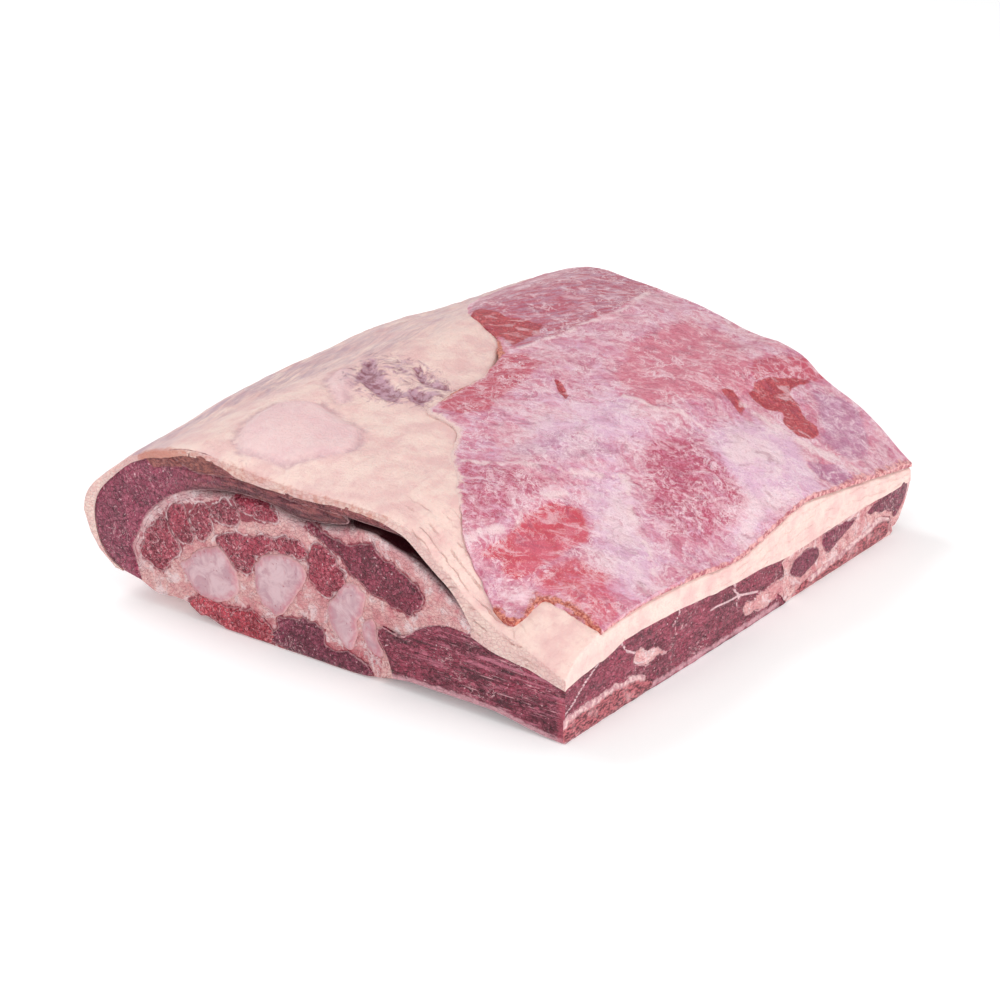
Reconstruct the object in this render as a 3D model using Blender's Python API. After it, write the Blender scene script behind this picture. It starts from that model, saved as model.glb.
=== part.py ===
"""Raw beef ribs: a slab cut square on its front and right faces, with its fat cap, muscles,
rib cartilages and two rib bones. X runs along the front cut, Y along the right cut, Z is up."""

import bpy
import bmesh
import numpy as np
from mathutils import Vector
from mathutils.geometry import tessellate_polygon

MM = 0.001

# Driving dimensions, in millimetres.
HALF_WIDTH = 145.0
HALF_LENGTH = 152.5
GAP = 0.3
LAYER_STATIONS = 13
PLUG_STATIONS = 8
SHEET_THICKNESS = 2.6
RIB_SLANT = 0.3
SLIT_DEPTH = 42.0
FAT_OVER_FLAP = 5.6
SIDE_FAT_START = 34.0
SHEET_LEFT = -94.0
SHEET_FRONT = -148.0
SHEET_COLUMNS = 14
SHEET_ROWS = 16

# Height of the top along the front cut, from the rounded left edge to the right corner (x, z).
FRONT_TOP = [(-145.3, 43), (-143, 51), (-137, 59), (-128, 66.5), (-111, 79), (-90, 87.5), (-66, 91.5),
             (-25, 88), (20, 88), (45, 87.5), (60, 83.5), (68, 78), (80, 68.5), (90, 59), (104, 50.5),
             (125, 43), (145, 35)]

# Height of the top behind the front cut: one row of heights for each distance along Y.
TOP_X = [-145, -125, -90, -40, 10, 50, 80, 110, 145]
TOP_ROWS = [(-118.0, [44, 72, 89, 97, 95, 91, 78, 63, 47]),
            (-50.0, [44, 78, 93, 101, 99, 91, 81, 66, 46]),
            (30.0, [44, 79, 95, 103, 100, 92, 84, 70, 49]),
            (100.0, [44, 72, 90, 104, 100, 90, 81, 65, 44]),
            (HALF_LENGTH, [44, 68, 88, 99, 93, 84, 77, 60, 37])]

# Heights along the right cut (y, z): the top edge, and the top of the lean under the fat.
RIGHT_TOP = [(-HALF_LENGTH, 35), (-140, 43), (-120, 47.5), (-90, 49), (-50, 46.5), (-12, 42), (20, 47), (48, 51),
             (75, 47.5), (110, 42), (HALF_LENGTH, 35)]
RIGHT_LEAN = [(-HALF_LENGTH, 30), (-130, 31), (-100, 38), (-70, 37), (-35, 33), (0, 29.5), (35, 25), (90, 26),
              (HALF_LENGTH, 29)]

# Outlines on the front cut (x, z).
UNDERSIDE = [(145, 0), (90, 0), (40, 0), (-5, 0), (-50, 0.5), (-66, 3.5), (-83, 8.4), (-98, 7.4), (-109, 11)]
ROLL_OUTER = [(-121, 13), (-131, 19), (-137, 29), (-138.2, 43), (-134.5, 54), (-127, 62.5), (-115, 73),
              (-104, 79.5), (-90, 84.2)]
RIM_OUTER = [(-126, 13.6), (-136, 21), (-141.5, 29)]
FLAP_UPPER = [(-77.5, 87.8), (-64.4, 88.7), (-52.6, 87.2), (-45, 84), (-35, 83.4), (-11, 83.4), (15, 84.8),
              (30, 85), (44, 83.6), (57, 79.6), (67, 72.2), (79, 63), (86.8, 54.6)]
FLAP_LOWER = [(82, 56.5), (72.5, 65), (61, 73.8), (50, 77.5), (20, 78.6), (-12, 78.2), (-27, 80.4), (-45, 80.6),
              (-57.4, 79.4), (-70, 77.8), (-80, 80.2)]
# How many of the last points of FLAP_LOWER, from the right, the roll's tail touches.
FLAP_TAIL = 4
ROLL_INNER = [(20, 74.6), (-6, 70.3), (-24, 73), (-46, 73.4), (-70, 68.8), (-83, 63.8), (-92, 58.4),
              (-101, 50.6), (-106, 44.6), (-110, 35.5), (-113.7, 29.3), (-112, 21.7)]
SLIT_LOWER = [(21.5, 74.3), (36, 74), (50, 70.5), (60, 67), (67, 63.7), (76, 58), (86.8, 51.8), (92, 46)]
LEAN_TOP = [(92, 40), (78, 40), (64, 35.4), (52, 27), (40.5, 28.7)]
LEAN_TOP_RIGHT = [(145, 30), (125, 34.4), (104, 36.5)]
LEAN_LEFT = [(37.5, 24), (43, 13), (47, 0)]

# Muscles and cartilages that run through from the front cut to the back cut (x, z).
THROUGH_PIECES = {
    "ring_muscle_1": [(-102, 40.5), (-96, 46), (-91.5, 42), (-85, 35.5), (-90, 27.5), (-95, 19.5), (-103, 21),
                      (-107.5, 28), (-105, 37)],
    "ring_muscle_2": [(-91, 50.5), (-88, 54.5), (-82, 57), (-79, 50.5), (-75.5, 44), (-81, 37.5), (-88, 42.5)],
    "ring_muscle_3": [(-76.8, 54.7), (-71, 59), (-64.8, 59.5), (-64.4, 54), (-66.5, 46.5), (-73, 44.5)],
    "ring_muscle_4": [(-61, 63), (-57, 65.2), (-51, 65.3), (-47, 62.5), (-45.5, 59.3), (-55, 54.6), (-62, 56)],
    "ring_muscle_5": [(-49, 68.4), (-46, 71), (-36, 70.4), (-25, 67.8), (-23.2, 64.4), (-29, 62.2), (-38, 63)],
    "ring_muscle_6": [(-60, 45), (-52.5, 49.8), (-29.5, 53.3), (-16.6, 56.2), (-4.9, 54), (-9, 50), (-17, 50.3),
                      (-30, 47.4), (-38.5, 41), (-39, 33), (-46, 34), (-51.5, 38)],
    "ring_muscle_7": [(-3.2, 53), (1, 57.3), (7, 57.4), (14, 52.2), (18, 47), (10, 36), (4.5, 35), (-3, 42)],
    "lens_muscle": [(-5.9, 67.6), (9, 65.5), (20.7, 63.8), (32.6, 68), (40, 62.8), (50, 59), (59.5, 56.5),
                    (64, 49.5), (59.3, 40), (49.5, 39), (32, 44.6), (21, 50), (12, 57.7)],
    "lower_muscle_1": [(-77, 9), (-70, 12.5), (-58.7, 11), (-44.7, 14), (-33.5, 13), (-26.5, 8), (-27, -2),
                       (-77, -2)],
    "lower_muscle_2": [(-23, 11), (-21, 15.3), (-7.5, 17.6), (3, 16.5), (6, 9), (22, 8.5), (31, 5), (31, -2),
                       (-23, -2)],
    "cartilage_1": [(-83.5, 25), (-80, 30.5), (-74, 35.2), (-60.4, 41.9), (-52.6, 36), (-48, 26), (-49, 19.5),
                    (-60.5, 13.2), (-74.4, 15.1)],
    "cartilage_2": [(-37.2, 38.5), (-29.8, 45.6), (-16.8, 48.6), (-6.8, 45), (-5.9, 38), (-15, 24.7),
                    (-21.6, 17), (-32, 18.5), (-37.3, 27.4)],
    "cartilage_3": [(11.5, 36), (20.3, 45.9), (29, 42.2), (30, 37.5), (25, 26), (22.4, 12.3), (13.5, 14.8),
                    (6.6, 25.7)],
    "cartilage_4": [(28.5, 27), (34, 30.1), (36.8, 20), (41, 12), (34.3, 13.2), (28, 20)],
}

# Bones, muscles and seams that show on the right cut and run back from it at a slant (y, z),
# with how far along Y each one runs.
SLANTED_PIECES = {
    "rib_1": ([(-151.5, 1), (-151.5, 12.5), (-133, 13.6), (-102, 13.4), (-90, 10.4), (-85, 5), (-87, -2),
               (-151.5, -2)], 400),
    "rib_2": ([(44, 3), (59, 6.5), (81, 8.6), (100, 10.6), (121, 14), (133, 12), (138.5, 7), (134, -2), (46, -2)],
              400),
    "side_muscle_1": ([(38, 14), (40, 20), (51.5, 21.8), (60.5, 20.5), (65, 14.5), (57, 11), (47, 8.6)], 400),
    "side_muscle_2": ([(67.5, 18), (68.5, 24), (80, 25), (92, 24), (100, 22.4), (93, 18.6), (84, 15.6),
                       (73, 12.6)], 400),
    "side_muscle_3": ([(109, 20.8), (118, 24.4), (132, 25), (147.5, 27.5), (148, 18), (144, 10),
                       (138.5, 13.4), (128, 16.2)], 400),
    "fat_seam_1": ([(-96.5, 24.5), (-86, 22), (-73, 16.5), (-70, 13.5), (-77, 14.6), (-88, 14.8), (-94, 17)],
                   40),
    "fat_seam_2": ([(-3, 12.2), (12, 14.4), (31, 14.6), (29, 9), (10.5, 5), (-2, 8.6)], 60),
}

HOSTS = {"rib_1": "deep_lean", "fat_seam_1": "deep_lean", "fat_seam_2": "deep_lean", "rib_2": "side_fat",
         "side_muscle_1": "side_fat", "side_muscle_2": "side_fat", "side_muscle_3": "side_fat"}

# The thin muscle sheet that lies on the fat, seen from above (x, y).
SHEET_OUTLINE = [(-90, 170), (-90, 96), (-61, 49), (-26, 27), (-6, -10), (-2, -61), (22, -71), (36, -91),
                 (59, -117), (73, -132), (84, -139), (98, -145), (112, -146), (117, -132), (127, -128),
                 (160, -125), (160, 170)]

# The way along a section that decides how its walls are split into triangles.
DIAGONAL = np.array([1.0, 0.23, 0.37])

# Pairs of axes that a flat cap lies in.
XY = (0, 1)
XZ = (0, 2)
YZ = (1, 2)

COLOURS = {
    "fat_cap": (0.85, 0.68, 0.60), "seam_fat": (0.80, 0.60, 0.55), "side_fat": (0.80, 0.60, 0.55),
    "fat_seam": (0.85, 0.68, 0.60), "flap_muscle": (0.30, 0.09, 0.07), "roll_muscle": (0.17, 0.02, 0.06),
    "lens_muscle": (0.20, 0.03, 0.06), "ring_muscle": (0.28, 0.04, 0.07), "lower_muscle": (0.35, 0.03, 0.05),
    "side_muscle": (0.26, 0.04, 0.08), "deep_lean": (0.22, 0.04, 0.08), "top_muscle": (0.58, 0.20, 0.26),
    "cartilage": (0.62, 0.52, 0.56), "rib": (0.45, 0.16, 0.16),
}
ROUGHNESS = 0.4


def smooth_curve(points):
    """A monotone cubic through (position, value) points, for arrays of positions."""
    xs = np.array([p[0] for p in points], float)
    ys = np.array([p[1] for p in points], float)
    step = np.diff(xs)
    slope = np.diff(ys) / step
    tangent = np.zeros_like(xs)
    tangent[0] = slope[0]
    tangent[-1] = slope[-1]
    for i in range(1, len(xs) - 1):
        if slope[i - 1] * slope[i] > 0:
            near = 2 * step[i] + step[i - 1]
            far = step[i] + 2 * step[i - 1]
            tangent[i] = (near + far) / (near / slope[i - 1] + far / slope[i])

    def value(x):
        x = np.asarray(x, float)
        k = np.clip(np.searchsorted(xs, x) - 1, 0, len(xs) - 2)
        t = np.clip((x - xs[k]) / step[k], 0, 1)
        rise = (1 + 2 * t) * (1 - t) ** 2 * ys[k] + t * t * (3 - 2 * t) * ys[k + 1]
        bend = t * (1 - t) ** 2 * tangent[k] - t * t * (1 - t) * tangent[k + 1]
        return rise + step[k] * bend

    return value


def smooth_step(low, high, value):
    t = np.clip((np.asarray(value, float) - low) / (high - low), 0, 1)
    return t * t * (3 - 2 * t)


front_top = smooth_curve(FRONT_TOP)
right_top = smooth_curve(RIGHT_TOP)
right_lean = smooth_curve(RIGHT_LEAN)


def top_rows(x, y):
    """The top from the rows of heights: each row is a smooth curve, and the rows blend along Y."""
    rows = [front_top(x)]
    places = [-HALF_LENGTH]
    for place, heights in TOP_ROWS:
        ratio = [(px, h / float(front_top(px))) for px, h in zip(TOP_X, heights)]
        rows.append(front_top(x) * smooth_curve(ratio)(x))
        places.append(place)
    height = np.zeros_like(x)
    for i in range(len(x)):
        height[i] = smooth_curve(list(zip(places, [row[i] for row in rows])))(y[i])
    return height


def top(x, y):
    x = np.asarray(x, float)
    y = np.asarray(y, float)
    edge = smooth_step(105, HALF_WIDTH, x)
    right = np.full_like(x, HALF_WIDTH)
    return top_rows(x, y) + edge * (right_top(y) - top_rows(right, y))


lean_front = smooth_curve(LEAN_TOP[::-1] + LEAN_TOP_RIGHT[::-1])
flap_under = smooth_curve([(20, 78.4), (50, 77.1), (61, 73.4), (72.5, 64.6), (82, 56.1), (92, 46)])


def warp(points):
    """Carries points of the straight block, whose every section is the front cut, into the slab."""
    p = np.asarray(points, float)
    x, y, z = p[:, 0], p[:, 1], p[:, 2]
    block_top = front_top(x)
    slab_top = top(x, y)
    ratio = slab_top / block_top
    block_lean = np.where(x > 92, lean_front(np.clip(x, 40, HALF_WIDTH)), 0.5 * block_top)
    near_right = smooth_step(92, HALF_WIDTH, x)
    lean_ratio = ratio * (1 - near_right) + near_right * right_lean(y) / right_lean(-HALF_LENGTH)
    slab_lean = block_lean * lean_ratio
    above = slab_lean + (z - block_lean) * (slab_top - slab_lean) / (block_top - block_lean)
    height = np.where(z > block_lean, above, z * lean_ratio)
    lift = 5.5 * smooth_step(22, 60, x) * (1 - smooth_step(100, 144, x)) * (1 - smooth_step(-150, -118, y))
    height = height + lift * np.clip(1 - z / 30, 0, 1)
    return np.column_stack([x, y, height])


def slab_to_block(y, z):
    """The block height that the warp carries to height z on the right cut."""
    lean = float(right_lean(y))
    if z <= lean:
        return z * float(right_lean(-HALF_LENGTH)) / lean
    full = float(right_top(y))
    low = float(right_lean(-HALF_LENGTH))
    return low + (z - lean) * (float(front_top(HALF_WIDTH)) - low) / (full - lean)


def inset(outline, distance):
    """The outline moved inwards by a distance, or outwards where it is negative."""
    pts = np.array(outline, float)
    ahead = np.roll(pts, -1, axis=0)
    behind = np.roll(pts, 1, axis=0)
    area = 0.5 * np.sum(pts[:, 0] * ahead[:, 1] - ahead[:, 0] * pts[:, 1])
    turn = 1.0 if area > 0 else -1.0

    def normals(a, b):
        d = b - a
        n = np.column_stack([-d[:, 1], d[:, 0]]) * turn
        return n / np.linalg.norm(n, axis=1, keepdims=True)

    n0 = normals(behind, pts)
    n1 = normals(pts, ahead)
    mitre = n0 + n1
    scale = np.clip(2 / np.sum(mitre * mitre, axis=1), 0, 4)
    return pts + distance * mitre * scale[:, None]


def slit_closed(y):
    """How far the slit under the flap has closed at y: open on the front cut, shut further in."""
    return float(smooth_step(-HALF_LENGTH, -HALF_LENGTH + SLIT_DEPTH, y))


def seam_outline(y):
    shut = slit_closed(y)
    slit = [(x, z + shut * (float(flap_under(x)) - z)) for x, z in SLIT_LOWER[:-1]]
    return ROLL_INNER[::-1] + slit + SLIT_LOWER[-1:] + LEAN_TOP + LEAN_LEFT + UNDERSIDE[2:]


def flap_top(y):
    """The flap's upper side, which drops away from the front cut to leave a full layer of fat above it."""
    shut = slit_closed(y)
    most = [float(front_top(x)) - FAT_OVER_FLAP for x, z in FLAP_UPPER]
    return [(x, z - shut * max(0.0, z - limit)) for (x, z), limit in zip(FLAP_UPPER, most)]


def material(name):
    kind = name.rstrip("_0123456789")
    mat = bpy.data.materials.get(kind)
    if mat is None:
        colour = (*COLOURS[kind], 1.0)
        mat = bpy.data.materials.new(kind)
        mat.use_nodes = True
        shader = mat.node_tree.nodes["Principled BSDF"]
        shader.inputs["Base Color"].default_value = colour
        shader.inputs["Roughness"].default_value = ROUGHNESS
        shader.inputs["Metallic"].default_value = 0.0
        mat.diffuse_color = colour
    return mat


def add_object(name, vertices, faces):
    mesh = bpy.data.meshes.new(name)
    mesh.from_pydata([tuple(v * MM) for v in vertices], [], faces)
    bm = bmesh.new()
    bm.from_mesh(mesh)
    bmesh.ops.recalc_face_normals(bm, faces=bm.faces)
    bm.to_mesh(mesh)
    bm.free()
    obj = bpy.data.objects.new(name, mesh)
    bpy.context.collection.objects.link(obj)
    return obj


def loft(name, sections, first_cap, last_cap):
    """A closed body through sections with the same number of points. A cap gives the two axes it is flat in."""
    count = len(sections[0])
    last = (len(sections) - 1) * count
    faces = []
    for start in range(0, last, count):
        for j in range(count):
            a = start + j
            b = start + (j + 1) % count
            # Neighbours share this wall, so both split it along the same diagonal.
            if np.dot(sections[0][b - start] - sections[0][a - start], DIAGONAL) < 0:
                a, b = b, a
            faces.append((a, b, b + count))
            faces.append((a, b + count, a + count))
    for section, axes, offset in ((sections[0], first_cap, 0), (sections[-1], last_cap, last)):
        outline = [Vector((p[axes[0]], p[axes[1]], 0)) for p in section]
        for tri in tessellate_polygon([outline]):
            faces.append(tuple(t + offset for t in tri))
    return add_object(name, np.vstack(sections), faces)


def through(name, outline, stations, overrun=0.0, shrink=0.0):
    """A piece that runs from the front cut to the back cut. outline gives its section at y."""
    sections = []
    for y in np.linspace(-HALF_LENGTH, HALF_LENGTH, stations):
        flat = inset(outline(y), shrink)
        sections.append(warp(np.column_stack([flat[:, 0], np.full(len(flat), y), flat[:, 1]])))
    if overrun:
        ahead = np.array([0, -overrun, 0])
        sections.insert(0, sections[0] + ahead)
        sections.append(sections[-1] - ahead)
    return loft(name, sections, XZ, XZ)


def slanted(name, outline, reach, overrun=0.0, shrink=0.0):
    """A piece that starts on the right cut and runs back and inwards at the ribs' slant."""
    flat = inset(outline, shrink)
    block = [(y, slab_to_block(y, z)) for y, z in flat]
    to_back_cut = reach > HALF_LENGTH
    sections = []
    for share in np.linspace(0, 1, PLUG_STATIONS):
        runs = [(y, z, share * min(reach, HALF_LENGTH - y)) for y, z in block]
        sections.append(warp([(HALF_WIDTH - RIB_SLANT * run, y + run, z) for y, z, run in runs]))
    if overrun:
        ahead = np.array([overrun, -overrun / RIB_SLANT, 0])
        sections.insert(0, sections[0] + ahead)
        sections.append(sections[-1] - RIB_SLANT * ahead)
    return loft(name, sections, YZ, XZ if to_back_cut else YZ)


def boolean(target, tool, operation):
    """Cuts target with tool, or keeps what lies in both, and deletes the tool."""
    cut = target.modifiers.new(operation, "BOOLEAN")
    cut.operation = operation
    cut.solver = "EXACT"
    cut.object = tool
    depsgraph = bpy.context.evaluated_depsgraph_get()
    mesh = bpy.data.meshes.new_from_object(target.evaluated_get(depsgraph))
    target.modifiers.clear()
    target.data = mesh
    bpy.data.objects.remove(tool)


def layer(name, depth, height, margin=0.0):
    """A slab that follows the top, from depth below it to height above it, wider by margin at the cuts."""
    columns = np.linspace(SHEET_LEFT, HALF_WIDTH, SHEET_COLUMNS)
    rows = np.linspace(SHEET_FRONT, HALF_LENGTH, SHEET_ROWS)
    if margin:
        columns = np.append(columns, HALF_WIDTH + margin)
        rows = np.append(rows, HALF_LENGTH + margin)
    x, y = [grid.ravel() for grid in np.meshgrid(columns, rows, indexing="ij")]
    surface = top(x, y)
    low = np.column_stack([x, y, surface - depth])
    high = np.column_stack([x, y, surface + height])
    half = len(x)
    across = len(rows)
    faces = []
    for i in range(len(columns) - 1):
        for j in range(across - 1):
            a = i * across + j
            b = a + across
            for face in ((a, b, b + 1), (a, b + 1, a + 1)):
                faces.append(face)
                faces.append(tuple(v + half for v in face))
    last = half - across
    rim = list(range(0, last, across)) + list(range(last, half - 1))
    rim += list(range(half - 1, across - 1, -across)) + list(range(across - 1, 0, -1))
    for a, b in zip(rim, rim[1:] + rim[:1]):
        faces.append((a, b, b + half))
        faces.append((a, b + half, a + half))
    return add_object(name, np.vstack([low, high]), faces)


def post(name, outline):
    """An upright prism over a plan outline, taller than the slab."""
    floor = np.column_stack([outline, np.full(len(outline), -50.0)])
    ceiling = floor + np.array([0, 0, 250.0])
    return loft(name, [floor, ceiling], XY, XY)


def make_sheet(fat_cap):
    """The thin muscle on top of the fat, and the shallow recess that it lies in."""
    recess = layer("recess", SHEET_THICKNESS + GAP, 4.0, margin=2.0)
    boolean(recess, post("recess_plan", inset(SHEET_OUTLINE, 0.0)), "INTERSECT")
    boolean(fat_cap, recess, "DIFFERENCE")
    sheet = layer("top_muscle", SHEET_THICKNESS, 0.0)
    boolean(sheet, post("sheet_plan", inset(SHEET_OUTLINE, GAP)), "INTERSECT")
    return sheet


def make_layers():
    """The bodies that share the section between them, each set back from its neighbours."""
    sections = {
        "fat_cap": lambda y: (RIM_OUTER + FRONT_TOP + LEAN_TOP_RIGHT + LEAN_TOP[:1] + SLIT_LOWER[-1:]
                              + flap_top(y)[::-1] + ROLL_OUTER[::-1]),
        "flap_muscle": lambda y: ROLL_OUTER[-1:] + flap_top(y) + FLAP_LOWER,
        "roll_muscle": lambda y: ROLL_OUTER + FLAP_LOWER[:FLAP_TAIL - 1:-1] + ROLL_INNER + UNDERSIDE[-1:],
        "seam_fat": seam_outline,
        "deep_lean": lambda y: LEAN_LEFT[::-1] + LEAN_TOP[::-1] + LEAN_TOP_RIGHT[::-1] + UNDERSIDE[:2],
    }
    return {name: through(name, outline, LAYER_STATIONS, shrink=GAP / 2) for name, outline in sections.items()}


def split_side_fat(deep_lean):
    """Parts the back right corner of the lean off as the fat that holds the side muscles."""
    run = HALF_LENGTH - SIDE_FAT_START + 10
    tip = HALF_WIDTH - RIB_SLANT * run
    corner = [(HALF_WIDTH + 10, SIDE_FAT_START), (HALF_WIDTH, SIDE_FAT_START), (tip, HALF_LENGTH + 10),
              (HALF_WIDTH + 10, HALF_LENGTH + 10)]
    side_fat = deep_lean.copy()
    side_fat.name = "side_fat"
    side_fat.data = deep_lean.data.copy()
    bpy.context.collection.objects.link(side_fat)
    boolean(side_fat, post("side_plan", inset(corner, GAP)), "INTERSECT")
    boolean(deep_lean, post("lean_plan", inset(corner, 0.0)), "DIFFERENCE")
    return side_fat


def fit_piece(piece, cutter, host):
    """Trims a piece to its host's outer faces, and cuts room for it in the host."""
    limits = host.copy()
    limits.data = host.data.copy()
    bpy.context.collection.objects.link(limits)
    boolean(piece, limits, "INTERSECT")
    boolean(host, cutter, "DIFFERENCE")


def build():
    for old in list(bpy.data.objects):
        bpy.data.objects.remove(old)
    objects = make_layers()
    objects["side_fat"] = split_side_fat(objects["deep_lean"])
    objects["top_muscle"] = make_sheet(objects["fat_cap"])
    for name, outline in THROUGH_PIECES.items():
        section = (lambda points: lambda y: points)(outline)
        piece = through(name, section, PLUG_STATIONS, shrink=GAP)
        cutter = through(name + "_room", section, PLUG_STATIONS, overrun=1.0)
        if name.startswith("lower_muscle"):
            fit_piece(piece, cutter, objects["seam_fat"])
        else:
            boolean(objects["seam_fat"], cutter, "DIFFERENCE")
        objects[name] = piece
    for name, (outline, reach) in SLANTED_PIECES.items():
        host = objects[HOSTS[name]]
        piece = slanted(name, outline, reach, shrink=GAP)
        cutter = slanted(name + "_room", outline, reach, overrun=1.0)
        if name.startswith("rib"):
            fit_piece(piece, cutter, host)
        else:
            boolean(host, cutter, "DIFFERENCE")
        objects[name] = piece
    for name, obj in objects.items():
        obj.data.materials.clear()
        obj.data.materials.append(material(name))


build()
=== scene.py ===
import math

import bmesh
import bpy
import numpy as np
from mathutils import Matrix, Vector
from mathutils.geometry import delaunay_2d_cdt


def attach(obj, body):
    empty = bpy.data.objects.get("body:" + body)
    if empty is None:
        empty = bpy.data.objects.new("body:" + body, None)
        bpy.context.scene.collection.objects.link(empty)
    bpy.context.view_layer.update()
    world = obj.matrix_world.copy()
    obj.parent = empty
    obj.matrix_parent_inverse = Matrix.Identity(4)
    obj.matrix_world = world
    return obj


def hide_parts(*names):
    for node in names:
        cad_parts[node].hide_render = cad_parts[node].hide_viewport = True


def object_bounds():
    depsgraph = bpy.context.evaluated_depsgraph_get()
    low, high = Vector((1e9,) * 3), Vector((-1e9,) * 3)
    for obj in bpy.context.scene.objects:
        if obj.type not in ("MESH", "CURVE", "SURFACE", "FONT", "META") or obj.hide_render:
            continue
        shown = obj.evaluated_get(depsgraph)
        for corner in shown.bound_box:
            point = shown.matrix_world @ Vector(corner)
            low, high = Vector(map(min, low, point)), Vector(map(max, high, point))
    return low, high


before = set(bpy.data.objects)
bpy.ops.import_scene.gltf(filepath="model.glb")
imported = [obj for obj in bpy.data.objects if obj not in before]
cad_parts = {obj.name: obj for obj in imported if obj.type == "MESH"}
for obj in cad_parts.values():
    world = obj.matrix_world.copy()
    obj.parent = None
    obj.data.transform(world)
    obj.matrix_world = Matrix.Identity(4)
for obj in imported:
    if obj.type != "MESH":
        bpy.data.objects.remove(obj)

CAD_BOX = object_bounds()

MM = 0.001
HALF_WIDTH = 145.0
HALF_LENGTH = 152.5
RIB_SLANT = 0.3
FULL_REACH = 400
SLIT_DEPTH = 42.0
SLIT_START_X = 20.0
SLIT_END_X = 92.0
FAT_OVER_FLAP = 5.6
FRONT_LIFT = 5.5
BACK_TUCK = 18.0
TUCK_START = 112.0
TUCK_HEIGHT = 28.0
SIDE_FAT_START = 34.0
LEAN_CUT_END = 60.0
SHEET_RIGHT = 144.6
BOX_GAP = 1e-4
EDGE_REACH = 6.0
FAR = 12.0
SHARP_ANGLE = math.radians(58)

# ---------------------------------------------------------------- the slab's form, as in the CAD solids

FRONT_TOP = [(-145.3, 43), (-143, 51), (-137, 59), (-128, 66.5), (-111, 79), (-90, 87.5), (-66, 91.5),
    (-25, 88), (20, 88), (45, 87.5), (60, 83.5), (68, 78), (80, 68.5), (90, 59), (104, 50.5), (125, 43),
    (145, 35)]
TOP_X = [-145, -125, -90, -40, 10, 50, 80, 110, 145]
TOP_ROWS = [
    (-118.0, [44, 72, 89, 97, 95, 91, 78, 63, 47]),
    (-50.0, [44, 78, 93, 101, 99, 91, 81, 66, 46]),
    (30.0, [44, 79, 95, 103, 100, 92, 84, 70, 49]),
    (100.0, [44, 72, 90, 104, 100, 90, 81, 65, 44]),
    (HALF_LENGTH, [44, 68, 88, 99, 93, 84, 77, 60, 37]),
]
RIGHT_TOP = [(-HALF_LENGTH, 35), (-140, 43), (-120, 47.5), (-90, 49), (-50, 46.5), (-12, 42), (20, 47),
    (48, 51), (75, 47.5), (110, 42), (HALF_LENGTH, 35)]
RIGHT_LEAN = [(-HALF_LENGTH, 30), (-130, 31), (-100, 38), (-70, 37), (-35, 33), (0, 29.5), (35, 25), (90, 26),
    (HALF_LENGTH, 29)]

UNDERSIDE = [(145, 0.2), (90, 0.2), (40, 0.2), (-5, 0.2), (-50, 0.5), (-66, 3.5), (-83, 8.4), (-98, 7.4),
    (-109, 11)]
ROLL_OUTER = [(-121, 13), (-131, 19), (-137, 29), (-138.2, 43), (-134.5, 54), (-127, 62.5), (-115, 73),
    (-104, 79.5), (-90, 84.2)]
RIM_OUTER = [(-126, 13.6), (-136, 21), (-141.5, 29)]
FLAP_UPPER = [(-77.5, 87.8), (-64.4, 88.7), (-52.6, 87.2), (-45, 84), (-35, 83.4), (-11, 83.4), (15, 84.8),
    (30, 85), (44, 83.6), (57, 79.6), (67, 72.2), (79, 63), (86.8, 54.6)]
FLAP_LOWER = [(82, 56.5), (72.5, 65), (61, 73.8), (50, 77.5), (20, 78.6), (-12, 78.2), (-27, 80.4), (-45, 80.6),
    (-57.4, 79.4), (-70, 77.8), (-80, 80.2)]
FLAP_TAIL = 4
ROLL_INNER = [(20, 74.6), (-6, 70.3), (-24, 73), (-46, 73.4), (-70, 68.8), (-83, 63.8), (-92, 58.4),
    (-101, 50.6), (-106, 44.6), (-110, 35.5), (-113.7, 29.3), (-112, 21.7)]
SLIT_LOWER = [(21.5, 74.3), (36, 74), (50, 70.5), (60, 67), (67, 63.7), (76, 58), (86.8, 51.8), (92, 46)]
FLAP_UNDER = [(20, 78.4), (50, 77.1), (61, 73.4), (72.5, 64.6), (82, 56.1), (92, 46)]
LEAN_TOP = [(92, 40), (78, 40), (64, 35.4), (52, 27), (40.5, 28.7)]
LEAN_TOP_RIGHT = [(145, 30), (125, 34.4), (104, 36.5)]
LEAN_LEFT = [(37.5, 24), (43, 13), (47, 0.2)]

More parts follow.
